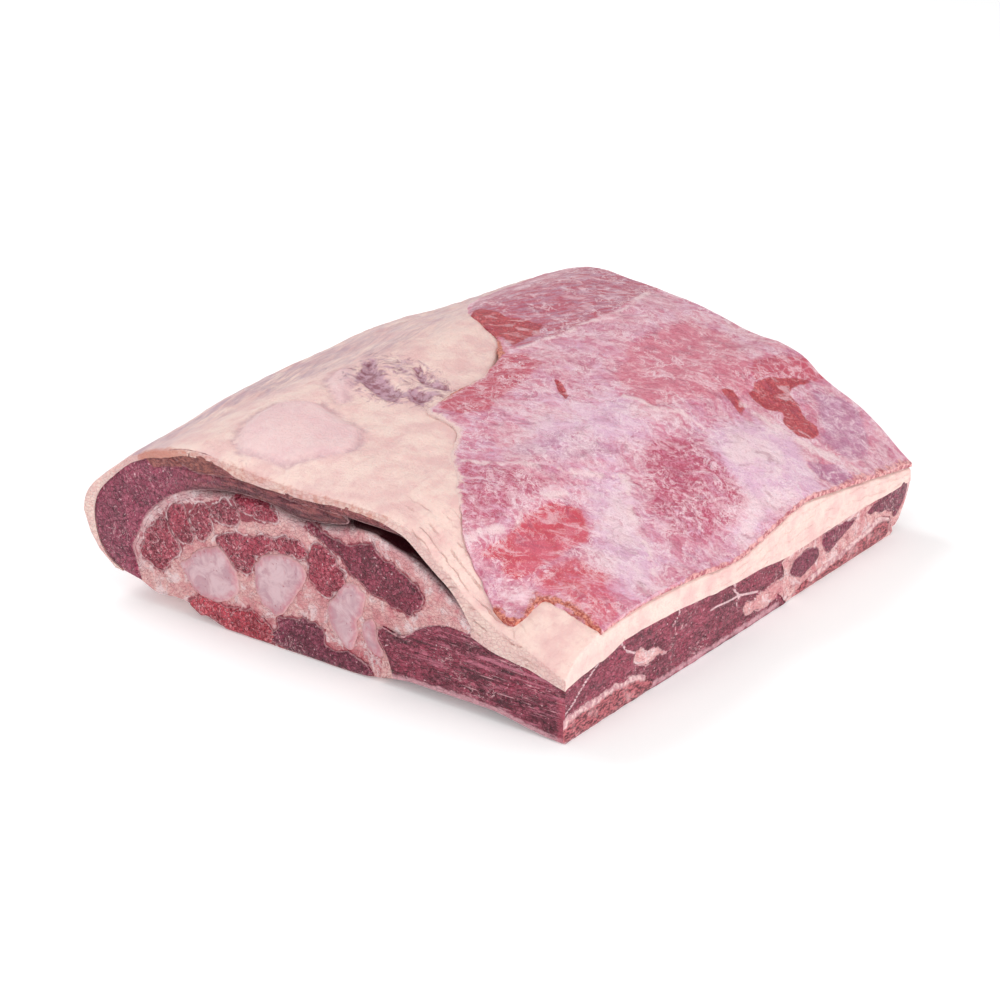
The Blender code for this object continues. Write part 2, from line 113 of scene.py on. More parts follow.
# Outlines on the front cut, of pieces that run through to the back cut.
THROUGH_PIECES = {
    "ring_muscle_1": [(-102, 40.5), (-96, 46), (-91.5, 42), (-85, 35.5), (-90, 27.5), (-95, 19.5), (-103, 21),
        (-107.5, 28), (-105, 37)],
    "ring_muscle_2": [(-91, 50.5), (-88, 54.5), (-82, 57), (-79, 50.5), (-75.5, 44), (-81, 37.5), (-88, 42.5)],
    "ring_muscle_3": [(-76.8, 54.7), (-71, 59), (-64.8, 59.5), (-64.4, 54), (-66.5, 46.5), (-73, 44.5)],
    "ring_muscle_4": [(-61, 63), (-57, 65.2), (-51, 65.3), (-47, 62.5), (-45.5, 59.3), (-55, 54.6), (-62, 56)],
    "ring_muscle_5": [(-49, 68.4), (-46, 71), (-36, 70.4), (-25, 67.8), (-23.2, 64.4), (-29, 62.2), (-38, 63)],
    "ring_muscle_6": [(-60, 45), (-52.5, 49.8), (-29.5, 53.3), (-16.6, 56.2), (-4.9, 54), (-9, 50), (-17, 50.3),
        (-30, 47.4), (-38.5, 41), (-39, 33), (-46, 34), (-51.5, 38)],
    "ring_muscle_7": [(-3.2, 53), (1, 57.3), (7, 57.4), (14, 52.2), (18, 47), (10, 36), (4.5, 35), (-3, 42)],
    "lens_muscle": [(-5.9, 67.6), (9, 65.5), (20.7, 63.8), (32.6, 68), (40, 62.8), (50, 59), (59.5, 56.5),
        (64, 49.5), (59.3, 40), (49.5, 39), (32, 44.6), (21, 50), (12, 57.7)],
    "lower_muscle_1": [(-77, 7.5), (-70, 12.5), (-58.7, 11), (-44.7, 14), (-33.5, 13), (-26.5, 8), (-27, 0.6),
        (-52, 0.8), (-66, 4.2)],
    "lower_muscle_2": [(-23, 11), (-21, 15.3), (-7.5, 17.6), (3, 16.5), (6, 9), (22, 8.5), (31, 5), (31, 0.6),
        (-23, 0.6)],
    "cartilage_1": [(-83.5, 25), (-80, 30.5), (-74, 35.2), (-60.4, 41.9), (-52.6, 36), (-48, 26), (-49, 19.5),
        (-60.5, 13.2), (-74.4, 15.1)],
    "cartilage_2": [(-37.2, 38.5), (-29.8, 45.6), (-16.8, 48.6), (-6.8, 45), (-5.9, 38), (-15, 24.7),
        (-21.6, 17), (-32, 18.5), (-37.3, 27.4)],
    "cartilage_3": [(11.5, 36), (20.3, 45.9), (29, 42.2), (30, 37.5), (25, 26), (22.4, 12.3), (13.5, 14.8),
        (6.6, 25.7)],
    "cartilage_4": [(28.5, 27), (34, 30.1), (36.8, 20), (41, 12), (34.3, 13.2), (28, 20)],
}
# Outlines (y, z) on the right cut, and how far along Y each piece runs.
SLANTED_PIECES = {
    "rib_1": ([(-151.5, 0.6), (-151.5, 12.5), (-133, 13.6), (-102, 13.4), (-90, 10.4), (-85, 5), (-87, 0.6)],
        FULL_REACH),
    "rib_2": ([(46, 0.6), (46, 3.4), (59, 6.5), (81, 8.6), (100, 10.6), (121, 14), (133, 12), (138.5, 7),
        (134, 0.6)], FULL_REACH),
    "side_muscle_1": ([(38, 14), (40, 20), (51.5, 21.8), (60.5, 20.5), (65, 14.5), (57, 11), (47, 8.6)],
        FULL_REACH),
    "side_muscle_2": ([(67.5, 18), (68.5, 24), (80, 25), (92, 24), (100, 22.4), (93, 18.6), (84, 15.6),
        (73, 12.6)], FULL_REACH),
    "side_muscle_3": ([(109, 20.8), (118, 24.4), (132, 25), (147.5, 27.5), (148, 18), (144, 10), (138.5, 13.4),
        (128, 16.2)], FULL_REACH),
    "fat_seam_1": ([(-96.5, 24.5), (-86, 22), (-73, 16.5), (-70, 13.5), (-77, 14.6), (-88, 14.8), (-94, 17)],
        40),
    "fat_seam_2": ([(-3, 12.2), (12, 14.4), (31, 14.6), (29, 9), (10.5, 5), (-2, 8.6)], 60),
}
FOLLOWS_LEAN = ("rib_2", "side_muscle_1", "side_muscle_2", "side_muscle_3")
HARD_RIM_ABOVE = {"rib_1": 9.5, "rib_2": 6}
SHEET_OUTLINE = [(-90, 152.5), (-90, 96), (-61, 49), (-26, 27), (-6, -10), (-2, -61), (22, -71), (36, -91),
    (59, -117), (73, -132), (84, -139), (98, -145), (112, -146), (117, -132), (127, -128), (145, -125),
    (145, 152.5)]
# The same outline, run out past the cuts.
SHEET_ROOM = [(-90, 175), (-90, 96)] + SHEET_OUTLINE[2:-2] + [(165, -125), (165, 175)]


def smooth_step(low, high, value):
    t = np.clip((np.asarray(value, float) - low) / (high - low), 0, 1)
    return t * t * (3 - 2 * t)


def hill(distance, width):
    """1 at distance 0, falling smoothly to 0 on both sides."""
    return np.exp(-(distance / width) ** 2)


def tangents(step, slope):
    """Slopes of a monotone cubic. slope has one row for each span, and any number of columns."""
    tangent = np.zeros((len(slope) + 1,) + slope.shape[1:])
    tangent[0] = slope[0]
    tangent[-1] = slope[-1]
    for i in range(1, len(slope)):
        near = 2 * step[i] + step[i - 1]
        far = step[i] + 2 * step[i - 1]
        rising = slope[i - 1] * slope[i] > 0
        safe_before = np.where(rising, slope[i - 1], 1.0)
        safe_after = np.where(rising, slope[i], 1.0)
        tangent[i] = np.where(rising, (near + far) / (near / safe_before + far / safe_after), 0.0)
    return tangent


def cubic(places, rows, x):
    """A monotone cubic at x through rows of values. Each point has a column of its own where rows has columns."""
    places = np.asarray(places, float)
    rows = np.asarray(rows, float)
    x = np.asarray(x, float)
    step = np.diff(places)
    spans = np.diff(rows, axis=0) / (step if rows.ndim == 1 else step[:, None])
    tangent = tangents(step, spans)
    k = np.clip(np.searchsorted(places, x) - 1, 0, len(places) - 2)
    t = np.clip((x - places[k]) / step[k], 0, 1)

    def pick(values, row):
        return values[row] if values.ndim == 1 else values[row, np.arange(len(x))]

    value = (1 + 2 * t) * (1 - t) ** 2 * pick(rows, k) + t * t * (3 - 2 * t) * pick(rows, k + 1)
    bend = t * (1 - t) ** 2 * pick(tangent, k) - t * t * (1 - t) * pick(tangent, k + 1)
    return value + step[k] * bend


def curve_value(points, x):
    return cubic([p[0] for p in points], [p[1] for p in points], x)


def top_rows(x, y):
    first = curve_value(FRONT_TOP, x)
    rows = [first]
    for _, heights in TOP_ROWS:
        ratio = np.array(heights) / curve_value(FRONT_TOP, TOP_X)
        rows.append(first * cubic(TOP_X, ratio, x))
    return cubic([-HALF_LENGTH] + [place for place, _ in TOP_ROWS], rows, y)


def top(x, y):
    """Height of the slab's top."""
    x = np.atleast_1d(np.asarray(x, float))
    y = np.atleast_1d(np.asarray(y, float))
    edge = smooth_step(105, HALF_WIDTH, x)
    return top_rows(x, y) + edge * (curve_value(RIGHT_TOP, y) - top_rows(np.full_like(x, HALF_WIDTH), y))


def back_tuck(x, y, z):
    """How far the back right corner tucks in under itself."""
    share = smooth_step(TUCK_START, HALF_WIDTH, x) * smooth_step(TUCK_START, HALF_LENGTH, y)
    return BACK_TUCK * share * np.clip(1 - z / TUCK_HEIGHT, 0, 1) ** 2


def warp(points):
    """Carries points of the straight block, whose every section is the front cut, into the slab."""
    x, y, z = np.asarray(points, float).T
    block_top = curve_value(FRONT_TOP, x)
    slab_top = top(x, y)
    ratio = slab_top / block_top
    lean_tops = LEAN_TOP[::-1] + LEAN_TOP_RIGHT[::-1]
    block_lean = np.where(x > SLIT_END_X, curve_value(lean_tops, np.clip(x, 40, HALF_WIDTH)), 0.5 * block_top)
    near_right = smooth_step(SLIT_END_X, HALF_WIDTH, x)
    lean_ratio = ratio * (1 - near_right) + near_right * curve_value(RIGHT_LEAN, y) / RIGHT_LEAN[0][1]
    slab_lean = block_lean * lean_ratio
    above = slab_lean + (z - block_lean) * (slab_top - slab_lean) / (block_top - block_lean)
    height = np.where(z > block_lean, above, z * lean_ratio)
    lift = smooth_step(22, 60, x) * (1 - smooth_step(100, 144, x)) * (1 - smooth_step(-150, -118, y))
    height = height + FRONT_LIFT * lift * np.clip(1 - z / 30, 0, 1)
    return np.column_stack([x, y - back_tuck(x, y, height), height])


def slab_to_block(y, z):
    """The block height that the warp carries to height z on the right cut."""
    lean = curve_value(RIGHT_LEAN, y)
    full = curve_value(RIGHT_TOP, y)
    low = RIGHT_LEAN[0][1]
    over = low + (z - lean) * (FRONT_TOP[-1][1] - low) / (full - lean)
    return np.where(z <= lean, z * low / lean, over)


# ---------------------------------------------------------------- noise, curves and distances

LATTICE = np.random.RandomState(7).rand(32, 32, 32)


def value_noise(points, size, seed=0):
    """Smooth noise from -1 to 1 with features of the given size in mm."""
    p = np.asarray(points, float) / size + 17.3 * seed
    cell = np.floor(p).astype(int)
    f = p - cell
    f = f * f * (3 - 2 * f)
    total = 0.0
    for corner in range(8):
        step = np.array([corner & 1, corner >> 1 & 1, corner >> 2 & 1])
        index = (cell + step) % 32
        weight = np.prod(np.where(step, f, 1 - f), axis=1)
        total = total + weight * LATTICE[index[:, 0], index[:, 1], index[:, 2]]
    return 2 * total - 1


def fractal(points, size, octaves=3, seed=0):
    total = 0.0
    for octave in range(octaves):
        total = total + 0.5 ** octave * value_noise(points, size / 2 ** octave, seed + octave)
    return total / (2 - 0.5 ** (octaves - 1))


def level(plan):
    """Points in a plane as points in space."""
    return np.column_stack([plan, np.zeros(len(plan))])


def curve(points, spacing):
    """A smooth curve through the points, with points of its own at an even spacing."""
    p = np.array(points, float)
    if len(p) == 2:
        dense = p
    else:
        ends = np.vstack([2 * p[0] - p[1], p, 2 * p[-1] - p[-2]])
        t = np.linspace(0, 1, 12, endpoint=False)[:, None]
        dense = []
        for a, b, c, d in zip(ends, ends[1:], ends[2:], ends[3:]):
            dense.append(0.5 * (2 * b + (c - a) * t + (2 * a - 5 * b + 4 * c - d) * t ** 2
                                + (3 * b - a - 3 * c + d) * t ** 3))
        dense = np.vstack(dense + [p[-1:]])
    length = np.concatenate([[0], np.cumsum(np.linalg.norm(np.diff(dense, axis=0), axis=1))])
    count = max(2, int(round(length[-1] / spacing)) + 1)
    even = np.linspace(0, length[-1], count)
    return np.column_stack([np.interp(even, length, dense[:, i]) for i in range(p.shape[1])])


def loop(points, spacing):
    """A smooth closed outline through the points."""
    wrapped = list(points[-2:]) + list(points) + list(points[:3])
    whole = curve(wrapped, spacing)
    start = np.argmin(np.linalg.norm(whole[: len(whole) // 3] - points[0], axis=1))
    tail = len(whole) // 2
    stop = tail + np.argmin(np.linalg.norm(whole[tail:] - points[0], axis=1))
    return whole[start:stop]


def chain(*parts):
    """Joins open curves into one outline, without doubled points."""
    joined = [np.asarray(parts[0], float)]
    for part in parts[1:]:
        part = np.asarray(part, float)
        if np.linalg.norm((part[0] - joined[-1][-1])[:2]) < 0.3:
            part = part[1:]
        joined.append(part)
    outline = np.vstack(joined)
    if np.linalg.norm((outline[0] - outline[-1])[:2]) < 0.3:
        outline = outline[:-1]
    return outline


def line_distance(points, line, closed=False):
    """Distance from each point to a polyline, in its own plane."""
    p = np.asarray(points, float)
    a = np.asarray(line, float)
    b = np.roll(a, -1, axis=0) if closed else a[1:]
    a = a if closed else a[:-1]
    best = np.full(len(p), 1e9)
    for start, end in zip(a, b):
        d = end - start
        t = np.clip(((p - start) @ d) / max(d @ d, 1e-9), 0, 1)
        best = np.minimum(best, np.linalg.norm(p - start - t[:, None] * d, axis=1))
    return best


def inside(points, outline):
    """Whether each point lies in a closed outline."""
    x, y = np.asarray(points, float).T
    result = np.zeros(len(x), bool)
    ax, ay = outline[-1]
    for bx, by in outline:
        crosses = (ay > y) != (by > y)
        if ay != by:
            result ^= crosses & (x < (bx - ax) * (y - ay) / (by - ay) + ax)
        ax, ay = bx, by
    return result


def signed_distance(points, outline):
    """Distance to a closed outline, negative inside it."""
    distance = line_distance(points, outline, closed=True)
    return np.where(inside(points, outline), -distance, distance)


def patch(points, outline, soft=3.0):
    """1 inside an outline, 0 outside, with a soft border."""
    return 1 - smooth_step(-soft, soft, signed_distance(points, outline))


def spot(points, centre, radii):
    """1 at the centre of an ellipse, falling smoothly to 0 past its edge."""
    return 1 - smooth_step(0.55, 1.25, np.hypot(*((points - centre) / radii).T))


def wander(plan):
    """Plan points pushed about by noise, so that borders between regions aren't drawn with a ruler."""
    push = [5.0 * fractal(level(plan), 20, 5, seed) for seed in (101, 131)]
    return plan + np.column_stack(push)


def sideways(ahead):
    """Unit vectors at right angles to the given ones, on their right."""
    return np.column_stack([ahead[:, 1], -ahead[:, 0]]) / np.linalg.norm(ahead, axis=1, keepdims=True)


def around(outline):
    """The direction in which a closed outline runs, at each of its points."""
    return np.roll(outline, -1, axis=0) - np.roll(outline, 1, axis=0)


def grown(outline, amount):
    """A closed outline moved outwards."""
    x, y = outline.T
    turn = np.sign(np.sum(x * np.roll(y, -1) - y * np.roll(x, -1)))
    return outline + turn * amount * sideways(around(outline))


def ragged(outline, amount, size, seed):
    """A closed outline pushed in and out by noise."""
    flat = np.column_stack([outline, np.full(len(outline), 5.0 * seed)])
    return outline + sideways(around(outline)) * (amount * fractal(flat, size, 3, seed))[:, None]


# ---------------------------------------------------------------- meshes

def make_mesh(name, vertices, faces, attributes):
    """A mesh object inside the CAD box, with a number for each vertex under each attribute's name."""
    low, high = np.array(CAD_BOX)
    mesh = bpy.data.meshes.new(name)
    mesh.from_pydata(np.clip(np.asarray(vertices) * MM, low + BOX_GAP, high - BOX_GAP).tolist(), [], faces)
    mesh.validate()
    for key, values in attributes.items():
        layer = mesh.attributes.new(key, "FLOAT", "POINT")
        layer.data.foreach_set("value", np.asarray(values, np.float32))
    bm = bmesh.new()
    bm.from_mesh(mesh)
    bmesh.ops.recalc_face_normals(bm, faces=bm.faces)
    bm.to_mesh(mesh)
    bm.free()
    mesh.shade_smooth()
    mesh.set_sharp_from_angle(angle=SHARP_ANGLE)
    obj = bpy.data.objects.new(name, mesh)
    bpy.context.scene.collection.objects.link(obj)
    return obj


def fill_cap(boundary, spacing):
    """Triangulates an outline with an even grid of points inside. Returns the inner points and the triangles."""
    low, high = boundary.min(axis=0), boundary.max(axis=0)
    us = np.arange(low[0] + spacing / 2, high[0], spacing)
    vs = np.arange(low[1] + spacing / 2, high[1], spacing * 0.866)
    grid_u, grid_v = np.meshgrid(us, vs)
    grid_u = grid_u + 0.5 * spacing * (np.arange(len(vs)) % 2)[:, None]
    grid = np.column_stack([grid_u.ravel(), grid_v.ravel()])
    grid = grid[inside(grid, boundary)]
    grid = grid[line_distance(grid, boundary, closed=True) > 0.45 * spacing]
    points = [Vector(p) for p in np.vstack([boundary, grid]).tolist()]
    border = [list(range(len(boundary)))]
    verts, _, tris, origin, _, _ = delaunay_2d_cdt(points, [], border, 1, 1e-5)
    source = [o[0] if o else -1 for o in origin]
    triangles = [tuple(source[i] for i in tri) for tri in tris]
    triangles = [t for t in triangles if min(t) >= 0 and len(set(t)) == 3]
    return grid, triangles


def walls(rings, count):
    """Quads between rings of count points that follow each other."""
    return [(k * count + j, k * count + (j + 1) % count, (k + 1) * count + (j + 1) % count, (k + 1) * count + j)
            for k in range(rings - 1) for j in range(count)]


def tube(section, stations, relief, spacing, skin=None, side=None):
    """A closed piece from the front cut to the back cut, as vertices, faces and whether each vertex is on a cut.

    section(y) gives the outline at y, with the same number of points everywhere. relief(points, front) gives
    how deep the cut face lies at (x, z). skin(points) lowers the top, side(points) sets the right cut back."""
    rings = []
    for y in stations:
        outline = section(y)
        rings.append(warp(np.column_stack([outline[:, 0], np.full(len(outline), y), outline[:, 1]])))
    rings = np.array(rings)
    shape = rings.shape[:2]
    flat = rings.reshape(-1, 3)
    if skin:
        flat[:, 2] += skin(flat)
    if side:
        flat[:, 0] -= side(flat)
    rings = flat.reshape(*shape, 3)
    count = shape[1]
    front, back = rings[0][:, [0, 2]].copy(), rings[-1][:, [0, 2]].copy()
    near_front = np.clip(1 - (stations + HALF_LENGTH) / FAR, 0, 1)[:, None]
    near_back = np.clip(1 - (HALF_LENGTH - stations) / FAR, 0, 1)[:, None]
    rings[:, :, 1] += near_front * relief(front, True) - near_back * relief(back, False)
    faces = walls(len(stations), count)
    vertices = [rings.reshape(-1, 3)]
    total = len(vertices[0])
    cut = [np.zeros(total)]
    cut[0][:count] = 1
    cut[0][-count:] = 1
    for boundary, is_front, first in ((front, True, 0), (back, False, total - count)):
        grid, triangles = fill_cap(boundary, spacing if is_front else 1.7 * spacing)
        depth = relief(grid, is_front)
        tuck = back_tuck(grid[:, 0], HALF_LENGTH, grid[:, 1])
        y = depth - HALF_LENGTH if is_front else HALF_LENGTH - depth - tuck
        faces += [tuple(first + i if i < count else total + i - count for i in t) for t in triangles]
        vertices.append(np.column_stack([grid[:, 0], y, grid[:, 1]]))
        cut.append(np.ones(len(grid)))
        total += len(grid)
    return np.vstack(vertices), faces, np.concatenate(cut)


def slanted(outline, reach, relief, spacing, count=14, follow=False):
    """A closed piece that starts on the right cut and runs back and inwards at the ribs' slant. With follow it
    rises and falls with the top of the lean."""
    y, z = outline[:, 0], slab_to_block(outline[:, 0], outline[:, 1])
    room = np.maximum(np.minimum(reach, HALF_LENGTH - y), 0.6)
    shares = np.linspace(0, 1, count) ** 1.5
    rings = []
    for share in shares:
        run = share * room
        x = HALF_WIDTH - RIB_SLANT * run
        grow = 1.0
        if follow:
            grow = curve_value(LEAN_TOP_RIGHT[::-1], np.clip(x, 104, HALF_WIDTH)) / LEAN_TOP_RIGHT[0][1]
        rings.append(warp(np.column_stack([x, y + run, z * grow])))
    ring = rings[0][:, [1, 2]].copy()
    first = relief(ring)
    for share, points in zip(shares, rings):
        points[:, 0] -= first * np.clip(1 - share * room / FAR, 0, 1)
        points[:, 1] = np.minimum(points[:, 1], HALF_LENGTH - 0.25)
    size = len(outline)
    grid, triangles = fill_cap(ring, spacing)
    total = size * count
    faces = walls(count, size)
    faces += [tuple(i if i < size else total + i - size for i in t) for t in triangles]
    faces.append(tuple(range(total - size, total)))
    front = np.column_stack([HALF_WIDTH - relief(grid), grid[:, 0], grid[:, 1]])
    cut = np.zeros(total + len(grid))
    cut[:size] = 1
    cut[total:] = 1
    return np.vstack(rings + [front]), faces, cut


# ---------------------------------------------------------------- shader building blocks

def srgb(red, green, blue):
    """A colour given as 0 to 255 values, in the linear form that shaders take."""
    channels = [c / 255 for c in (red, green, blue)]
    return tuple(c / 12.92 if c <= 0.04045 else ((c + 0.055) / 1.055) ** 2.4 for c in channels) + (1.0,)


class Shader:
    """A material with one Principled shader, and short names for the nodes that feed it. colour is the look so
    far, which paint and cover lay more over. Colours are triples of 0 to 255 values, sizes are in mm."""

    def __init__(self, name, roughness, subsurface, specular=0.5):
        self.material = bpy.data.materials.new(name)
        self.material.use_nodes = True
        self.tree = self.material.node_tree
        self.principled = self.tree.nodes["Principled BSDF"]
        for key, value in {"Roughness": roughness, "Subsurface Weight": subsurface,
                           "Subsurface Radius": (1.0, 0.35, 0.3), "Subsurface Scale": 3 * MM,
                           "Specular IOR Level": specular}.items():
            self.principled.inputs[key].default_value = value
        self.position = self.node("ShaderNodeTexCoord").outputs["Object"]
        self.colour = None

    def node(self, kind, **settings):
        node = self.tree.nodes.new(kind)
        for key, value in settings.items():
            setattr(node, key, value)
        return node

    def join(self, source, socket):
        if isinstance(source, bpy.types.NodeSocket):
            self.tree.links.new(source, socket)
        elif isinstance(source, tuple) and len(source) == 3:
            socket.default_value = srgb(*source)
        else:
            socket.default_value = source

    def math(self, operation, a, b=0.0):
        node = self.node("ShaderNodeMath", operation=operation)
        self.join(a, node.inputs[0])
        self.join(b, node.inputs[1])
        return node.outputs[0]

    def add(self, a, b):
        return self.math("ADD", a, b)

    def both(self, a, b):
        return self.math("MULTIPLY", a, b)

    def attribute(self, name):
        return self.node("ShaderNodeAttribute", attribute_name=name).outputs["Fac"]

    def stretch(self, scale, angle=0.0):
        """The object's coordinates, scaled along its own axes after a turn about Z."""
        node = self.node("ShaderNodeMapping")
        self.join(self.position, node.inputs["Vector"])
        node.inputs["Rotation"].default_value = (0, 0, math.radians(angle))
        outer = self.node("ShaderNodeMapping")
        self.join(node.outputs[0], outer.inputs["Vector"])
        outer.inputs["Scale"].default_value = scale
        return outer.outputs[0]

    def noise(self, size, detail=3.0, roughness=0.55, vector=None, distortion=0.0):
        """Noise from 0 to 1 with features of the given size."""
        node = self.node("ShaderNodeTexNoise")
        self.join(vector or self.position, node.inputs["Vector"])
        for key, value in {"Scale": 1 / (size * MM), "Detail": detail, "Roughness": roughness,
                           "Distortion": distortion}.items():
            node.inputs[key].default_value = value
        return node.outputs["Fac"]

    def frayed(self, name, amount, size, detail=5, roughness=0.65, distortion=0.0):
        """An attribute with noise of the given amount added to it, so that what it bounds has a ragged border."""
        noise = self.math("SUBTRACT", self.noise(size, detail, roughness, None, distortion), 0.5)
        return self.add(self.attribute(name), self.both(noise, amount))

    def threads(self, noise, wide, thin):
        """Thin lines where a noise crosses its middle."""
        return self.ramp(self.math("ABSOLUTE", self.math("SUBTRACT", noise, 0.5)), wide, thin)

    def cells(self, size, vector):
        """Distance to the border between cells of the given size."""
        node = self.node("ShaderNodeTexVoronoi", feature="DISTANCE_TO_EDGE")
        self.join(vector, node.inputs["Vector"])
        node.inputs["Scale"].default_value = 1 / (size * MM)
        return node.outputs["Distance"]

    def ramp(self, value, low, high, out_low=0.0, out_high=1.0):
        node = self.node("ShaderNodeMapRange", interpolation_type="SMOOTHSTEP")
        for source, key in ((value, "Value"), (low, "From Min"), (high, "From Max"), (out_low, "To Min"),
                            (out_high, "To Max")):
            self.join(source, node.inputs[key])
        return node.outputs[0]

    def mix(self, share, first, second):
        node = self.node("ShaderNodeMix", data_type="RGBA")
        self.join(share, node.inputs["Factor"])
        self.join(first, node.inputs["A"])
        self.join(second, node.inputs["B"])
        return node.outputs["Result"]

    def cover(self, share, colour):
        self.colour = self.mix(share, self.colour, colour)

    def paint(self, value, low, high, colour, share=1.0):
        """Lays a colour over the look, from none of it where value is low to the given share where it is high."""
        self.cover(self.both(self.ramp(value, low, high), share), colour)

    def finish(self, height, distance=0.6, strength=0.6, roughness=None):
        """Connects the colour and a bump height. distance is the bump's depth."""
        self.join(self.colour, self.principled.inputs["Base Color"])
        bump = self.node("ShaderNodeBump")
        bump.inputs["Strength"].default_value = strength
        bump.inputs["Distance"].default_value = distance * MM
        self.join(height, bump.inputs["Height"])
        self.join(bump.outputs[0], self.principled.inputs["Normal"])
        if roughness is not None:
            self.join(roughness, self.principled.inputs["Roughness"])
        return self.material


def lean_material(name, dark, mid, light, grain=2.2, stretch=(1, 1, 1), marbling=0.5, rim=0.5, streaks=0.0):
    """Raw lean on a cut: bundles of fibres, thin pale veins between them, pale specks that are partly flecks of fat
    and partly painted highlights, painted shade where the shade attribute marks it, and a pale skin at its border.
    """
    s = Shader(name, 0.38, 0.08, 0.4)
    along = s.stretch(stretch)
    s.colour = s.mix(s.ramp(s.noise(12, 4, 0.62, along, 0.6), 0.36, 0.64), dark, mid)
    fine = s.noise(2.0, 5, 0.7, along, 0.8)
    s.paint(fine, 0.48, 0.66, light, 0.85)
    s.paint(fine, 0.47, 0.34, (56, 8, 22), 0.85)
    crumbs = s.noise(1.3, 3, 0.7, None, 0.5)
    s.paint(crumbs, 0.54, 0.66, (206, 130, 146), 0.4)
    s.paint(crumbs, 0.46, 0.34, (48, 6, 18), 0.5)
    bundles = s.cells(grain, along)
    s.paint(bundles, 0.10, 0.0, (70, 14, 30), 0.5)
    where = s.ramp(s.noise(18, 3, 0.5), 0.66 - 0.3 * marbling, 0.8 - 0.3 * marbling)
    veins = s.threads(s.noise(6, 4, 0.6, along, 0.8), 0.016, 0.002)
    s.cover(s.both(s.both(veins, where), 0.75), (226, 180, 184))
    # Pale specks: partly flecks of fat, partly painted highlights in place of wet glints.
    s.paint(s.noise(1.4, 1, 0.5), 0.72 - 0.06 * marbling, 0.76, (224, 180, 186), 0.8)
    height = s.add(s.both(fine, 0.9), s.both(s.ramp(bundles, 0.0, 0.12), 0.5))
    if streaks:
        bands = s.noise(2.6, 5, 0.62, s.stretch((0.09, 0.09, 1)), 0.3)
        banded = s.both(s.math("SUBTRACT", 1.0, s.attribute("grainy")), streaks)
        s.paint(bands, 0.5, 0.38, (50, 8, 22), banded)
        s.paint(bands, 0.55, 0.66, (200, 118, 138), banded)
        s.paint(s.noise(0.9, 3, 0.6, s.stretch((0.06, 0.06, 1))), 0.60, 0.68, (228, 172, 180), banded)
        height = s.add(height, s.both(bands, s.both(banded, 2.6)))
    dry = s.ramp(s.noise(1.6, 4, 0.6, s.stretch((0.12, 0.12, 1))), 0.4, 0.6)
    s.cover(s.both(s.attribute("dried"), 0.85), s.mix(dry, (74, 28, 34), (158, 92, 88)))
    s.paint(s.frayed("pale", 1.2, 5), 0.45, 0.9, s.mix(fine, (196, 122, 138), (228, 190, 196)), 0.8)
    s.paint(s.frayed("fascia", 0.8, 3, 4, 0.6), 0.4, 0.8, (228, 192, 196), 0.85)
    s.paint(s.frayed("fresh", 1.2, 3), 0.45, 1.1, s.mix(fine, (156, 26, 54), (224, 112, 132)), 0.55)
    tan = s.ramp(s.noise(2.4, 5, 0.65, s.stretch((1, 1, 2))), 0.4, 0.62)
    s.paint(s.frayed("brown", 1.0, 4), 0.4, 0.7, s.mix(tan, (104, 46, 48), (166, 98, 88)), 0.92)
    # Painted shade: near-black where the shade attribute marks the lean under the flap's free edge and under the
    # roll's inner edge.
    s.cover(s.both(s.attribute("shade"), 0.9), (46, 12, 22))
    s.paint(s.frayed("edge", 2.2, 3), 0.7, 0.1, (216, 168, 172), rim)
    return s.finish(height, 0.7, 0.85, s.ramp(fine, 0.3, 0.7, 0.24, 0.46))


def fat_base(name, base, warm, blood):
    """Moist fat: cream with a pink tint in soft patches, and lobules where it is cut. Returns the shader, its
    fine grains and its bump height."""
    s = Shader(name, 0.42, 0.15, 0.4)
    grains = s.noise(1.7, 4, 0.7)
    s.colour = s.mix(s.ramp(s.noise(16, 5, 0.62), 0.38, 0.66), base, warm)
    s.paint(grains, 0.5, 0.34, warm, 0.35)
    lobules = s.cells(2.6, s.stretch((1, 0.6, 1.4)))
    cut = s.attribute("cut")
    s.paint(lobules, 0.10, 0.0, blood, s.both(cut, 0.4))
    s.paint(s.noise(4, 5, 0.65, s.stretch((1, 0.25, 1.6))), 0.5, 0.72, blood, 0.25)
    s.paint(s.frayed("blood", 1.3, 5, 5, 0.68, 0.6), 0.3, 0.95, blood)
    height = s.add(s.noise(5, 5, 0.65), s.both(s.ramp(lobules, 0, 0.15), s.both(cut, 0.3)))
    return s, grains, s.add(height, s.both(grains, 0.7))


